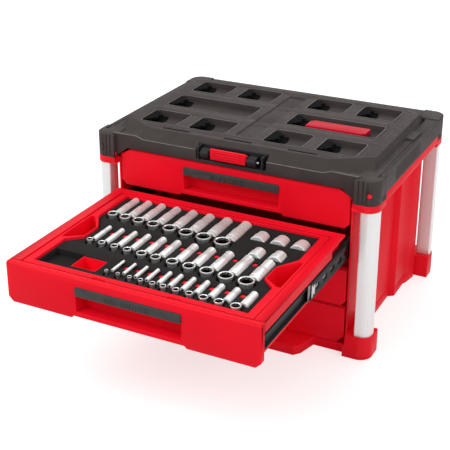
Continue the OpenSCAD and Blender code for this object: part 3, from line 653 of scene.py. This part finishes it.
def bead_tree():
    """Round bead along a path of edges."""
    inputs = [("Path", "NodeSocketObject", None), RADIUS_INPUT, FINISH_INPUT]
    tree, start = new_tree("bead_on_a_path", inputs)
    path = node(tree, "GeometryNodeObjectInfo", {"As Instance": False})
    tree.links.new(start.outputs["Path"], path.inputs["Object"])
    line = node(tree, "GeometryNodeMeshToCurve")
    tree.links.new(path.outputs["Geometry"], line.inputs["Mesh"])
    shaded = node(tree, "GeometryNodeSetShadeSmooth")
    tree.links.new(round_bar(tree, start, line, BEAD_SIDES), shaded.inputs["Geometry"])
    return finish_tree(tree, shaded.outputs["Geometry"], start)


TREES = {}


def grown(name, maker, finish, rows):
    """One mesh made of rows that a tree grows. Each row holds the tree's inputs by name."""
    if maker not in TREES:
        TREES[maker] = maker()
    tree = TREES[maker]
    identifiers = {
        item.name: item.identifier
        for item in tree.interface.items_tree
        if item.item_type == "SOCKET" and item.in_out == "INPUT"
    }
    merged = bmesh.new()
    for row in rows:
        part = show(name + "_row", bpy.data.meshes.new(name + "_row"))
        grower = part.modifiers.new("row", "NODES")
        grower.node_group = tree
        for label, value in {**row, "Finish": finish_of(finish)}.items():
            grower[identifiers[label]] = value
        evaluated(part)
        merged.from_mesh(part.data)
        bpy.data.objects.remove(part)
    made = show(name, mesh_of(name, merged))
    made.data.polygons.foreach_set("material_index", [0] * len(made.data.polygons))
    made.data.set_sharp_from_angle(angle=SMOOTH)
    paint(made, finish)
    return made


def path_object(name, loops, closed):
    """Edges only: one path for each list of points."""
    points, edges = [], []
    for loop in loops:
        first, count = len(points), len(loop)
        points += loop
        last = count if closed else count - 1
        edges += [(first + i, first + (i + 1) % count) for i in range(last)]
    mesh = bpy.data.meshes.new(name)
    mesh.from_pydata(points, edges, [])
    return show(name, mesh)


# ---------- sockets ----------

SIDES = 48
TURN = np.arange(SIDES) * 2 * math.pi / SIDES
SOCKET_SMOOTH = math.radians(24)


def polygon(count, offset=0.0):
    """Radius of a polygon with count sides round the ring, as a share of its corner radius."""
    half = math.pi / count
    return math.cos(half) / np.cos((TURN + offset) % (2 * half) - half)


ROUND = np.ones(SIDES)
SQUARE = polygon(4)
TWELVE = np.maximum(polygon(6), polygon(6, math.pi / 6))


def turned(shape, start, axis, rings):
    """A closed turned body: rings of (distance along axis, curve, radius), back to the first.

    Its faces from the mouth inwards carry the attribute that paints them dark as shade.
    """
    axis = Vector(axis).normalized()
    side = Vector((1, 0, 0))
    other = axis.cross(side)
    loops = []
    for along, curve, radius in rings:
        centre = start + axis * along
        loops.append([
            shape.verts.new(centre + side * (reach * math.cos(a)) + other * (reach * math.sin(a)))
            for reach, a in zip(curve * radius, TURN)
        ])
    layers = shape.faces.layers.float
    bore = layers.get("bore") or layers.new("bore")
    mouth = next(k for k, ring in enumerate(rings) if ring[1] is TWELVE)
    for k, (here, there) in enumerate(zip(loops, loops[1:] + loops[:1])):
        for i in range(SIDES):
            j = (i + 1) % SIDES
            face = shape.faces.new((here[i], here[j], there[j], there[i]))
            face[bore] = 1.0 if mouth <= k < len(rings) - 1 else 0.0


def short_rings(d, h):
    """Upright socket of diameter d, mouth at height h: a ring on a slimmer, grooved stem."""
    r, stem, mouth, drive = d / 2, 0.41 * d, 0.42 * d, 0.25 * d
    c = min(0.8 * MM, 0.06 * d)
    return [
        (0.0, ROUND, stem - c),
        (c, ROUND, stem),
        (0.34 * h, ROUND, stem),
        (0.36 * h, ROUND, stem - 0.4 * c),
        (0.40 * h, ROUND, stem - 0.4 * c),
        (0.42 * h, ROUND, stem),
        (0.80 * h, ROUND, stem),
        (0.86 * h, ROUND, r),
        (h - 1.1 * c, ROUND, r),
        (h - 0.4 * c, ROUND, r - 0.25 * c),
        (h, ROUND, r - 0.8 * c),
        (h, ROUND, mouth + 0.45 * (r - mouth)),
        (h - 1.2 * c, TWELVE, mouth),
        (0.90 * h, TWELVE, mouth * 0.98),
        (0.84 * h, TWELVE, 0.35 * d),
        (0.54 * h, TWELVE, 0.35 * d),
        (0.54 * h, ROUND, drive * 1.25),
        (0.50 * h, SQUARE, drive),
        (0.0, SQUARE, drive),
    ]


def deep_rings(d, end):
    """Lying socket from its drive end: full grooved body, then the slimmer end with the mouth."""
    r, slim, mouth, drive = d / 2, 0.45 * d, 0.34 * d, 0.275 * d
    c = min(1.2 * MM, 0.07 * d)
    return [
        (0.0, ROUND, r - 1.1 * c),
        (0.35 * c, ROUND, r - 0.4 * c),
        (c, ROUND, r),
        (0.13 * end, ROUND, r),
        (0.135 * end, ROUND, r - 0.35 * c),
        (0.155 * end, ROUND, r - 0.35 * c),
        (0.16 * end, ROUND, r),
        (0.55 * end, ROUND, r),
        (0.575 * end, ROUND, r - 0.35 * (r - slim)),
        (0.60 * end, ROUND, slim),
        (end - c, ROUND, slim),
        (end - 0.35 * c, ROUND, slim - 0.4 * c),
        (end, ROUND, slim - c),
        (end, ROUND, mouth + 0.3 * (slim - mouth)),
        (end - 1.2 * c, TWELVE, mouth),
        (0.66 * end, TWELVE, mouth),
        (0.66 * end, ROUND, drive),
        (0.32 * end, ROUND, 0.2 * d),
        (0.30 * end, SQUARE, drive),
        (0.0, SQUARE, drive),
    ]


def islands(cad_node):
    """Vertex arrays of a node's separate solids."""
    shape = welded(cad_node)
    shape.verts.ensure_lookup_table()
    seen, found = set(), []
    for vertex in shape.verts:
        if vertex.index in seen:
            continue
        stack, members = [vertex], []
        seen.add(vertex.index)
        while stack:
            here = stack.pop()
            members.append(tuple(here.co))
            for edge in here.link_edges:
                there = edge.other_vert(here)
                if there.index not in seen:
                    seen.add(there.index)
                    stack.append(there)
        found.append(np.array(members))
    shape.free()
    return found


def sockets(cad_node, rings, tilt, finish):
    """Turned sockets in the places of a node's solids, whose axes lean by tilt from +Y to +Z."""
    axis = np.array((0.0, math.cos(tilt), math.sin(tilt)))
    across = np.array((0.0, -math.sin(tilt), math.cos(tilt)))
    shape = bmesh.new()
    for points in islands(cad_node):
        low, high = points.min(0), points.max(0)
        along, over = points @ axis, points @ across
        start = axis * along.min() + across * (over.min() + over.max()) / 2
        start[0] = (low[0] + high[0]) / 2
        turned(shape, Vector(start), axis, rings(high[0] - low[0], along.max() - along.min()))
    bmesh.ops.recalc_face_normals(shape, faces=shape.faces)
    name = cad_node.replace("sockets", "chrome_sockets")
    made = show(name, mesh_of(name, shape))
    smooth(made.data)
    made.data.set_sharp_from_angle(angle=SOCKET_SMOOTH)
    paint(made, finish)
    settle(made, NODE_BODY[cad_node], "chrome", cad_node)


# ---------- places and outlines of the pieces ----------

CABINET = NODE_BODY["base_frame"]
LID = NODE_BODY["lid"]
TOP = CAD_BOX[1][2]
DRAWERS = (1, 2, 3, 4)
ROWS_OF_SOCKETS = ("back", "mid", "front")

# Rounding of the pieces' edges, where it isn't a user's to change
EDGE = {
    "latch_bracket": 0.5 * MM,
    "latch_flap": 0.6 * MM,
    "release_lever": 0.6 * MM,
    "drawer_grip": 0.5 * MM,
    "ball_cage": 0.1 * MM,
    "slide_clips": 0.2 * MM,
    "lid_badge": 0.8 * MM,
    "tray_insert": 0.7 * MM,
    "foam_insert": 0.5 * MM,
}

# Corner walls of feet and caps: lowest and highest point, and depth of the feet's flutes
FOOT_WALL = (7 * MM, 45.1 * MM)
CAP_WALL = (288.9 * MM, 301.9 * MM)
FOOT_FLUTE = 0.3 * MM
FLUTES_PER_TURN = 50
WALL_FROM, WALL_TO, WALL_POINTS = 6, 84, 79
WALL_STANDS_OUT = 0.1 * MM
POST_GAP = 0.35 * MM
POST_INSET = (2 * MM, 4.5 * MM)
POST_INNER_CORNER = 3 * MM

# Pockets of the lid: the middle row has two long ones, the others have four short ones
POCKET_FLOOR = TOP - 12 * MM
POCKET_ROWS = (-110 * MM, -7 * MM, 96 * MM)
POCKET_COLUMNS = (-179 * MM, -76.6 * MM, 76.6 * MM, 179 * MM)
POCKET_HALF = 38 * MM
POCKET_HALF_DEPTH = 34 * MM
POCKET_CORNER = 7 * MM
LIP_SINK = 0.35
LONG_ROW = 1
LONG_COLUMNS = (-128 * MM, 128 * MM)
LONG_HALF = 89 * MM

# Dark skin over the tongue and dark sheet in the undercut, both painted shade, in millimetres from
# the middle of a pocket's left end
TONGUE = (
    (0.4, -24.3), (8.2, -24.3), (11.2, -18.3), (15.2, -18.3), (17.3, -10.2), (22.3, -8.2),
    (22.3, -1.8), (17.3, 0.2), (17.3, 5.8), (22.3, 7.8), (22.3, 14.2), (16.2, 17.2),
    (13.2, 24.3), (0.4, 24.3),
)
TONGUE_HEIGHTS = (TOP - 5.3 * MM, TOP - 0.75 * MM)
SHADE = (
    (0.6, -31), (26, -31), (30, -26), (33, -14), (30, -4), (33, 8), (30, 20), (26, 31), (0.6, 31),
)
SHADE_HEIGHTS = (POCKET_FLOOR - 0.3 * MM, POCKET_FLOOR + 0.4 * MM)

# Bare plate in the right long pocket, in millimetres from the middle of the lid
BADGE = ((74, -25), (185, -25), (192, -18), (192, 9), (81, 9), (74, 2))
BADGE_HEIGHTS = (TOP - 13 * MM, TOP - 2.2 * MM)

# Ridge on both sides of the latch: X and depth under the top, in millimetres
RIDGES = (
    ((-244, 13), (-194, 12), (-178, 17), (-70, 17)),
    ((73, 17), (178, 17), (194, 12), (244, 13)),
)
RIDGE_BEHIND_FRONT = 8 * MM
RIDGE_RADIUS = 1 * MM

# Slots behind the lid's front edge
SLOT_PLACES = (-126.5 * MM, 0.0, 126.5 * MM)
SLOT_HALF = 27.6 * MM
SLOT_FRONT, SLOT_BACK = -166.1 * MM, -161.9 * MM
SLOT_CORNER = 1.5 * MM
SLOT_HEIGHTS = (TOP - 6.2 * MM, TOP - 0.4 * MM)

# Fine ribs on the lid's sides
RIB_FIRST, RIB_LAST = -108 * MM, 30 * MM
RIB_LOW, RIB_HIGH = TOP - 45 * MM, TOP - 21 * MM
RIB_SINK = 0.2 * MM

# Stop clip in steps of (start, end, half height), in millimetres from a slide's front end
CLIP_STEPS = ((2, 7, 11), (7, 11, 6), (11, 15, 9))
CLIP_SINK, CLIP_PROUD = 0.4 * MM, 0.7 * MM

# Windows in the foam, along a lying socket from its mouth to its far end
WINDOW_PLACE = 0.74
WINDOW_HALF_LENGTH = 6 * MM
WINDOW_CORNER = 1 * MM
WINDOW_DEPTH = 3 * MM
WINDOW_FLOOR = (4 * MM, 2.6 * MM)
CUTTER_OVER = 2 * MM

# Lean of the lying sockets
DEEP_TILT = math.radians(1)
UPRIGHT = math.radians(90)


def pocket_pairs():
    """Pockets two by two: centre of the left one, centre of the right one, Y, half length."""
    for row, y in enumerate(POCKET_ROWS):
        if row == LONG_ROW:
            yield (*LONG_COLUMNS, y, LONG_HALF)
        else:
            yield (*POCKET_COLUMNS[:2], y, POCKET_HALF)
            yield (*POCKET_COLUMNS[2:], y, POCKET_HALF)


# ---------- operators ----------


class BoxOperator:
    """What the operators share"""

    bl_options = {"REGISTER", "UNDO"}

    @property
    def shape(self):
        return bpy.context.scene.box_shape


class BOX_OT_cabinet(BoxOperator, bpy.types.Operator):
    """Rounds the base, walls, back and deck, and closes the corners of feet and caps"""

    bl_idname = "drawer_box.cabinet"
    bl_label = "Cabinet"

    def execute(self, context):
        for name in ("base_frame", "side_wall_left", "side_wall_right", "back_wall", "top_deck"):
            rounded(name, "red_plastic", self.shape.shell_edge)
        self.corner_walls("foot_corner_walls", FOOT_WALL, FOOT_FLUTE)
        self.corner_walls("cap_corner_walls", CAP_WALL, 0.0)
        return {"FINISHED"}

    def corner_walls(self, name, heights, flute):
        """Round outer walls at the four corners, fluted by flute, around the posts."""
        corner = self.outer_arc(flute) + self.inner_arc()
        rows = [
            ([(sx * x, sy * y) for x, y in corner], *heights) for sx in (1, -1) for sy in (1, -1)
        ]
        settle(prisms(name, rows, "red_plastic"), CABINET, "red_plastic")

    def outer_arc(self, flute):
        cap = self.shape.cap_corner
        centre_x, centre_y = CAD_BOX[1][0] - cap, CAD_BOX[1][1] - cap
        points = []
        for degrees in np.linspace(WALL_FROM, WALL_TO, WALL_POINTS):
            wave = 0.5 + 0.5 * math.cos(math.radians(degrees * FLUTES_PER_TURN))
            radius = cap + WALL_STANDS_OUT + flute * wave
            turn = math.radians(degrees)
            points.append((centre_x + radius * math.cos(turn), centre_y + radius * math.sin(turn)))
        return points

    def inner_arc(self):
        post = self.shape.post_corner
        centre = [CAD_BOX[1][k] - POST_INSET[k] - post for k in (0, 1)]
        return arc(centre, post + POST_GAP, 90, 0, count=19)


class BOX_OT_posts(BoxOperator, bpy.types.Operator):
    """Aluminium corner posts with a round outer corner"""

    bl_idname = "drawer_box.posts"
    bl_label = "Posts"

    def execute(self, context):
        for name in frame["nodes"]:
            if name.startswith("post_"):
                self.post(name)
        return {"FINISHED"}

    def post(self, name):
        low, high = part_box(name)
        outer = CORNERS.index((np.sign(low[0]), np.sign(low[1])))
        radii = [POST_INNER_CORNER] * 4
        radii[outer] = self.shape.post_corner
        outline = round_box(low[0], low[1], high[0], high[1], radii, count=13)
        made = prisms(name + "_drawn", [(outline, low[2], high[2])], "post_aluminium")
        settle(made, NODE_BODY[name], "post_aluminium", name)


class BOX_OT_lid(BoxOperator, bpy.types.Operator):
    """Rounds the lid and its pans, and sets the bare plate and the pins"""

    bl_idname = "drawer_box.lid"
    bl_label = "Lid"

    def execute(self, context):
        for name in ("lid", "lid_pan_front", "lid_pan_middle", "lid_pan_rear"):
            rounded(name, "lid_plastic", self.shape.lid_edge)
        rows = [(in_mm(BADGE), *BADGE_HEIGHTS)]
        plate = prisms("lid_badge_plate", rows, "badge", EDGE["lid_badge"])
        settle(plate, NODE_BODY["lid_badge"], "badge", "lid_badge")
        self.pin("lid_pin_left", -1, "lid_plastic")
        self.pin("lid_pin_right", 1, "red_plastic")
        return {"FINISHED"}

    def pin(self, name, side, slot):
        """The pin on one side of the lid."""
        shape = welded("lid_pins")
        away = [v for v in shape.verts if v.co.x * side < 0]
        bmesh.ops.delete(shape, geom=away, context="VERTS")
        made = show(name, mesh_of(name, shape))
        paint(made, slot)
        settle(made, NODE_BODY["lid_pins"], slot, "lid_pins")


class BOX_OT_lid_rows(BoxOperator, bpy.types.Operator):
    """Pocket lips and front ridge painted pale as a highlight, tongues, undercuts and slot floors
    painted dark as shade, and the fine ribs on the lid's sides
    """

    bl_idname = "drawer_box.lid_rows"
    bl_label = "Lid's lips and ribs"

    def execute(self, context):
        self.lips()
        self.ridges()
        self.copies("pocket_tongues", TONGUE, TONGUE_HEIGHTS)
        self.copies("pocket_shades", SHADE, SHADE_HEIGHTS)
        self.slots()
        self.ribs()
        return {"FINISHED"}

    def lips(self):
        """A bead round each pocket, sunk a little in the lid, painted pale as a highlight."""
        lip = self.shape.lip
        reach_y = POCKET_HALF_DEPTH + lip
        loops = []
        for left, right, y, half in pocket_pairs():
            reach_x = half + lip
            for x in (left, right):
                corners = (x - reach_x, y - reach_y, x + reach_x, y + reach_y)
                outline = round_box(*corners, [POCKET_CORNER + lip] * 4)
                loops.append([(a, b, TOP - LIP_SINK * lip) for a, b in outline])
        self.bead("pocket_lips", loops, True, lip)

    def ridges(self):
        """The ridge along the lid's front, painted pale as a highlight, broken by the latch."""
        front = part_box("lid")[0][1] + RIDGE_BEHIND_FRONT
        loops = [[(x * MM, front, TOP - z * MM) for x, z in ridge] for ridge in RIDGES]
        self.bead("front_ridge", loops, False, RIDGE_RADIUS)

    def bead(self, name, loops, closed, radius):
        path = path_object(name + "_path", loops, closed)
        # Lips and ridge get the painted highlight colour.
        made = grown(name, bead_tree, "painted_lid_highlight", [{"Path": path, "Radius": radius}])
        bpy.data.objects.remove(path)
        settle(made, LID, "lid_plastic")

    def copies(self, name, outline, heights):
        """A piece painted dark as shade at the left end of each pocket."""
        one = prisms(name + "_one", [(in_mm(outline), *heights)])
        rows = [
            {"Count": 2, "First": (left - half, y, 0), "Step": (right - left, 0, 0), "Shape": one}
            for left, right, y, half in pocket_pairs()
        ]
        # Painted shade: dark copies at the left end of each pocket.
        made = grown(name, copy_tree, "recess", rows)
        bpy.data.objects.remove(one)
        settle(made, LID, "black_plastic")

    def slots(self):
        """Floors of the three slots behind the front edge, painted dark as shade."""
        rows = []
        for x in SLOT_PLACES:
            corners = (x - SLOT_HALF, SLOT_FRONT, x + SLOT_HALF, SLOT_BACK)
            rows.append((round_box(*corners, [SLOT_CORNER] * 4), *SLOT_HEIGHTS))
        settle(prisms("latch_slot_floors", rows, "recess"), LID, "black_plastic")

    def ribs(self):
        """Upright ribs on the left and right side of the lid."""
        count = self.shape.flange_ribs
        side_x = CAD_BOX[1][0] - RIB_SINK
        rows = [
            {
                "Count": count,
                "First": (side * side_x, RIB_FIRST, RIB_LOW),
                "Step": (0, (RIB_LAST - RIB_FIRST) / (count - 1), 0),
                "Along": (0, 0, RIB_HIGH - RIB_LOW),
                "Radius": self.shape.rib_radius,
            }
            for side in (-1, 1)
        ]
        settle(grown("flange_ribs", rib_tree, "lid_plastic", rows), LID, "lid_plastic")


class BOX_OT_latch(BoxOperator, bpy.types.Operator):
    """Latch flap on its bracket, and the release lever in the front lip"""

    bl_idname = "drawer_box.latch"
    bl_label = "Latch and lever"

    def execute(self, context):
        rounded("latch_bracket", "black_plastic", EDGE["latch_bracket"])
        for name in ("latch_flap", "release_lever"):
            rounded(name, "red_plastic", EDGE[name])
        return {"FINISHED"}


class BOX_OT_drawers(BoxOperator, bpy.types.Operator):
    """Moulded drawers with their grip bars"""

    bl_idname = "drawer_box.drawers"
    bl_label = "Drawers"

    def execute(self, context):
        for number in DRAWERS:
            rounded(f"drawer_shell_{number}", "red_plastic", self.shape.shell_edge, segments=3)
            rounded(f"drawer_grip_{number}", "grip_rubber", EDGE["drawer_grip"], segments=3)
        return {"FINISHED"}


class BOX_OT_slides(BoxOperator, bpy.types.Operator):
    """Ball slides with their cages and stop clips"""

    bl_idname = "drawer_box.slides"
    bl_label = "Slides"

    def execute(self, context):
        for number in DRAWERS:
            for part in ("outer", "mid", "inner"):
                rounded(f"slide_{part}_{number}", "black_steel", self.shape.metal_edge)
            # Ball cages painted dark as shade.
            rounded(f"ball_cage_{number}", "cage_steel", EDGE["ball_cage"], segments=1)
            self.clips(number)
        return {"FINISHED"}

    def clips(self, number):
        """Bright stop clips at the front ends of the middle members."""
        mid = f"slide_mid_{number}"
        low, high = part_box(mid)
        front, middle = low[1], (low[2] + high[2]) / 2
        rows = []
        for side in (-1, 1):
            x0, x1 = sorted((side * (high[0] - CLIP_SINK), side * (high[0] + CLIP_PROUD)))
            for start, end, reach in CLIP_STEPS:
                outline = rectangle(x0, front + start * MM, x1, front + end * MM)
                rows.append((outline, middle - reach * MM, middle + reach * MM))
        made = prisms(f"slide_clips_{number}", rows, "steel", EDGE["slide_clips"])
        settle(made, NODE_BODY[mid], "steel")


class BOX_OT_fasteners(BoxOperator, bpy.types.Operator):
    """Screws, rods, pins and the return spring"""

    bl_idname = "drawer_box.fasteners"
    bl_label = "Fasteners"

    def execute(self, context):
        screws = ("lid_screws", "slide_screws", "latch_screws")
        for name in ("tie_rods", *screws, "latch_pin", "release_pin"):
            rounded(name, "steel", self.shape.metal_edge)
        self.spring()
        return {"FINISHED"}

    def spring(self):
        """The return spring, which the lever presses down on its foot."""
        spring = show("return_spring", mesh_of("return_spring", welded("release_spring")))
        paint(spring, "steel")
        settle(spring, NODE_BODY["release_spring"], "steel", "release_spring")
        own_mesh(spring)


class BOX_OT_tray(BoxOperator, bpy.types.Operator):
    """Red tray, and foam with windows between the lying sockets"""

    bl_idname = "drawer_box.tray"
    bl_label = "Tray and foam"

    def execute(self, context):
        rounded("tray_insert", "red_plastic", EDGE["tray_insert"])
        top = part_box("foam_insert")[1][2]
        windows = self.windows()
        cuts = [(outline, top - WINDOW_DEPTH, top + CUTTER_OVER) for outline in windows]
        cutter = prisms("window_cutter", cuts)
        rounded("foam_insert", "foam", EDGE["foam_insert"], cutter=cutter)
        under, over = (top - depth for depth in WINDOW_FLOOR)
        rows = [(outline, under, over) for outline in windows]
        floors = prisms("window_floors", rows, "red_plastic")
        settle(floors, NODE_BODY["foam_insert"], "red_plastic")
        return {"FINISHED"}

    def windows(self):
        """Outlines between each lying socket and the next one, near their far ends."""
        half = self.shape.window / 2
        outlines = []
        for row in ("mid", "front"):
            solids = islands(f"sockets_{row}_deep")
            boxes = sorted((tuple(points.min(0)), tuple(points.max(0))) for points in solids)
            for (low, high), (next_low, _) in zip(boxes, boxes[1:]):
                x = (high[0] + next_low[0]) / 2
                y = low[1] + WINDOW_PLACE * (high[1] - low[1])
                corners = (x - half, y - WINDOW_HALF_LENGTH, x + half, y + WINDOW_HALF_LENGTH)
                outlines.append(round_box(*corners, [WINDOW_CORNER] * 4, count=3))
        return outlines


class BOX_OT_sockets(BoxOperator, bpy.types.Operator):
    """Chrome sockets, upright and lying"""

    bl_idname = "drawer_box.sockets"
    bl_label = "Sockets"

    def execute(self, context):
        for row in ROWS_OF_SOCKETS:
            sockets(f"sockets_{row}_short", short_rings, UPRIGHT, "upright_chrome")
            sockets(f"sockets_{row}_deep", deep_rings, DEEP_TILT, "chrome")
        sockets("sockets_large", deep_rings, 0.0, "chrome")
        return {"FINISHED"}


# ---------- stage ----------

SKY = 0.68
FLOOR_LIFT = 0.62
FLOOR_TONE = (0.60, 0.60, 0.60)
WHITE = (1, 1, 1, 1)
SENSOR_WIDTH = 36

# Soft lamps: name, place, side of the square, watts, point aimed at
LAMPS = (
    ("key_lamp", (-1.3, -1.9, 2.3), 1.6, 37, (0, -0.1, 0.2)),
    ("fill_lamp", (2.3, -0.9, 1.5), 1.8, 13, (0, 0, 0.2)),
    ("back_lamp", (0.4, 1.9, 2.2), 1.6, 16, (0, 0, 0.2)),
)


class BOX_OT_stage(BoxOperator, bpy.types.Operator):
    """Pale floor, soft lamps and the photograph's camera"""

    bl_idname = "drawer_box.stage"
    bl_label = "Stage"

    def execute(self, context):
        stage = context.scene.box_stage
        self.floor(stage)
        self.world(context.scene)
        self.lamps()
        self.camera(context.scene, stage)
        context.scene.view_settings.view_transform = "Standard"
        return {"FINISHED"}

    def seen(self, tree):
        """One where a ray comes from the camera, from gloss or through glass, else nought."""
        path = node(tree, "ShaderNodeLightPath")
        gloss = node(tree, "ShaderNodeMath", operation="MAXIMUM")
        every = node(tree, "ShaderNodeMath", operation="MAXIMUM")
        tree.links.new(path.outputs["Is Camera Ray"], gloss.inputs[0])
        tree.links.new(path.outputs["Is Glossy Ray"], gloss.inputs[1])
        tree.links.new(gloss.outputs["Value"], every.inputs[0])
        tree.links.new(path.outputs["Is Transmission Ray"], every.inputs[1])
        return every.outputs["Value"]

    def floor(self, stage):
        """Pale floor that looks white where it is lit, and keeps the shadow."""
        half = stage.floor_size / 2
        mesh = bpy.data.meshes.new("floor")
        corners = [(x, y, 0) for x, y in rectangle(-half, -half, half, half)]
        mesh.from_pydata(corners, [], [(0, 1, 2, 3)])
        made = show("floor", mesh)
        matt = Finish("pale_floor", 0.9, Specular_IOR_Level=0.0)
        matt.tint(FLOOR_TONE, 0.005, matt.noise(2.0))
        tree = matt.tree
        lift = node(tree, "ShaderNodeEmission", {"Color": WHITE})
        level = node(tree, "ShaderNodeMath", operation="MULTIPLY")
        level.inputs[1].default_value = FLOOR_LIFT
        both = node(tree, "ShaderNodeAddShader")
        end = next(n for n in tree.nodes if n.type == "OUTPUT_MATERIAL")
        tree.links.new(self.seen(tree), level.inputs[0])
        tree.links.new(level.outputs["Value"], lift.inputs["Strength"])
        tree.links.new(matt.shader.outputs["BSDF"], both.inputs[0])
        tree.links.new(lift.outputs["Emission"], both.inputs[1])
        tree.links.new(both.outputs["Shader"], end.inputs["Surface"])
        mesh.materials.append(matt.material)

    def world(self, scene):
        """Even light on the object. What the camera and the gloss see is white."""
        sky = bpy.data.worlds.new("studio")
        scene.world = sky
        sky.use_nodes = True
        tree = sky.node_tree
        tree.nodes.clear()
        soft = node(tree, "ShaderNodeBackground", {"Color": WHITE, "Strength": SKY})
        seen = node(tree, "ShaderNodeBackground", {"Color": WHITE, "Strength": 1.0})
        mix = node(tree, "ShaderNodeMixShader")
        end = node(tree, "ShaderNodeOutputWorld")
        tree.links.new(self.seen(tree), mix.inputs["Fac"])
        tree.links.new(soft.outputs["Background"], mix.inputs[1])
        tree.links.new(seen.outputs["Background"], mix.inputs[2])
        tree.links.new(mix.outputs["Shader"], end.inputs["Surface"])

    def lamps(self):
        """Square area lamps turned towards their aim."""
        for name, place, size, power, aim in LAMPS:
            light = bpy.data.lights.new(name, "AREA")
            light.shape = "SQUARE"
            light.size = size
            light.energy = power
            made = bpy.data.objects.new(name, light)
            made.location = place
            made.rotation_euler = (Vector(place) - Vector(aim)).to_track_quat("Z", "Y").to_euler()
            bpy.context.scene.collection.objects.link(made)

    def camera(self, scene, stage):
        """The photograph's camera."""
        lens = bpy.data.cameras.new("photo_camera")
        lens.lens = stage.focal
        lens.sensor_width = SENSOR_WIDTH
        lens.shift_x, lens.shift_y = stage.shift
        made = bpy.data.objects.new("photo_camera", lens)
        made.location = stage.camera_place
        made.rotation_euler = (math.pi / 2 - stage.camera_pitch, 0, stage.camera_yaw)
        scene.collection.objects.link(made)
        scene.camera = made


# ---------- add-on ----------

OPERATORS = (
    BOX_OT_cabinet,
    BOX_OT_posts,
    BOX_OT_lid,
    BOX_OT_lid_rows,
    BOX_OT_latch,
    BOX_OT_drawers,
    BOX_OT_slides,
    BOX_OT_fasteners,
    BOX_OT_tray,
    BOX_OT_sockets,
    BOX_OT_stage,
)


class BOX_PT_panel(bpy.types.Panel):
    """Lists the pieces of the drawer box"""

    bl_idname = "BOX_PT_panel"
    bl_label = "Socket drawer box"
    bl_space_type = "VIEW_3D"
    bl_region_type = "UI"
    bl_category = "Drawer Box"

    def draw(self, context):
        scene = context.scene
        for settings in (scene.box_finishes, scene.box_shape, scene.box_stage):
            column = self.layout.column(align=True)
            for key in settings.bl_rna.properties.keys():
                if key not in {"rna_type", "name"}:
                    column.prop(settings, key)
        for operator in OPERATORS:
            self.layout.operator(operator.bl_idname)


CLASSES = (BoxFinishes, BoxShape, BoxStage, *OPERATORS, BOX_PT_panel)


def register():
    for item in CLASSES:
        bpy.utils.register_class(item)
    bpy.types.Scene.box_finishes = bpy.props.PointerProperty(type=BoxFinishes)
    bpy.types.Scene.box_shape = bpy.props.PointerProperty(type=BoxShape)
    bpy.types.Scene.box_stage = bpy.props.PointerProperty(type=BoxStage)


def unregister():
    del bpy.types.Scene.box_stage, bpy.types.Scene.box_shape, bpy.types.Scene.box_finishes
    for item in reversed(CLASSES):
        bpy.utils.unregister_class(item)


def main():
    """Makes every piece in order."""
    register()
    for operator in OPERATORS:
        group, name = operator.bl_idname.split(".")
        getattr(getattr(bpy.ops, group), name)()


if __name__ == "__main__":
    main()
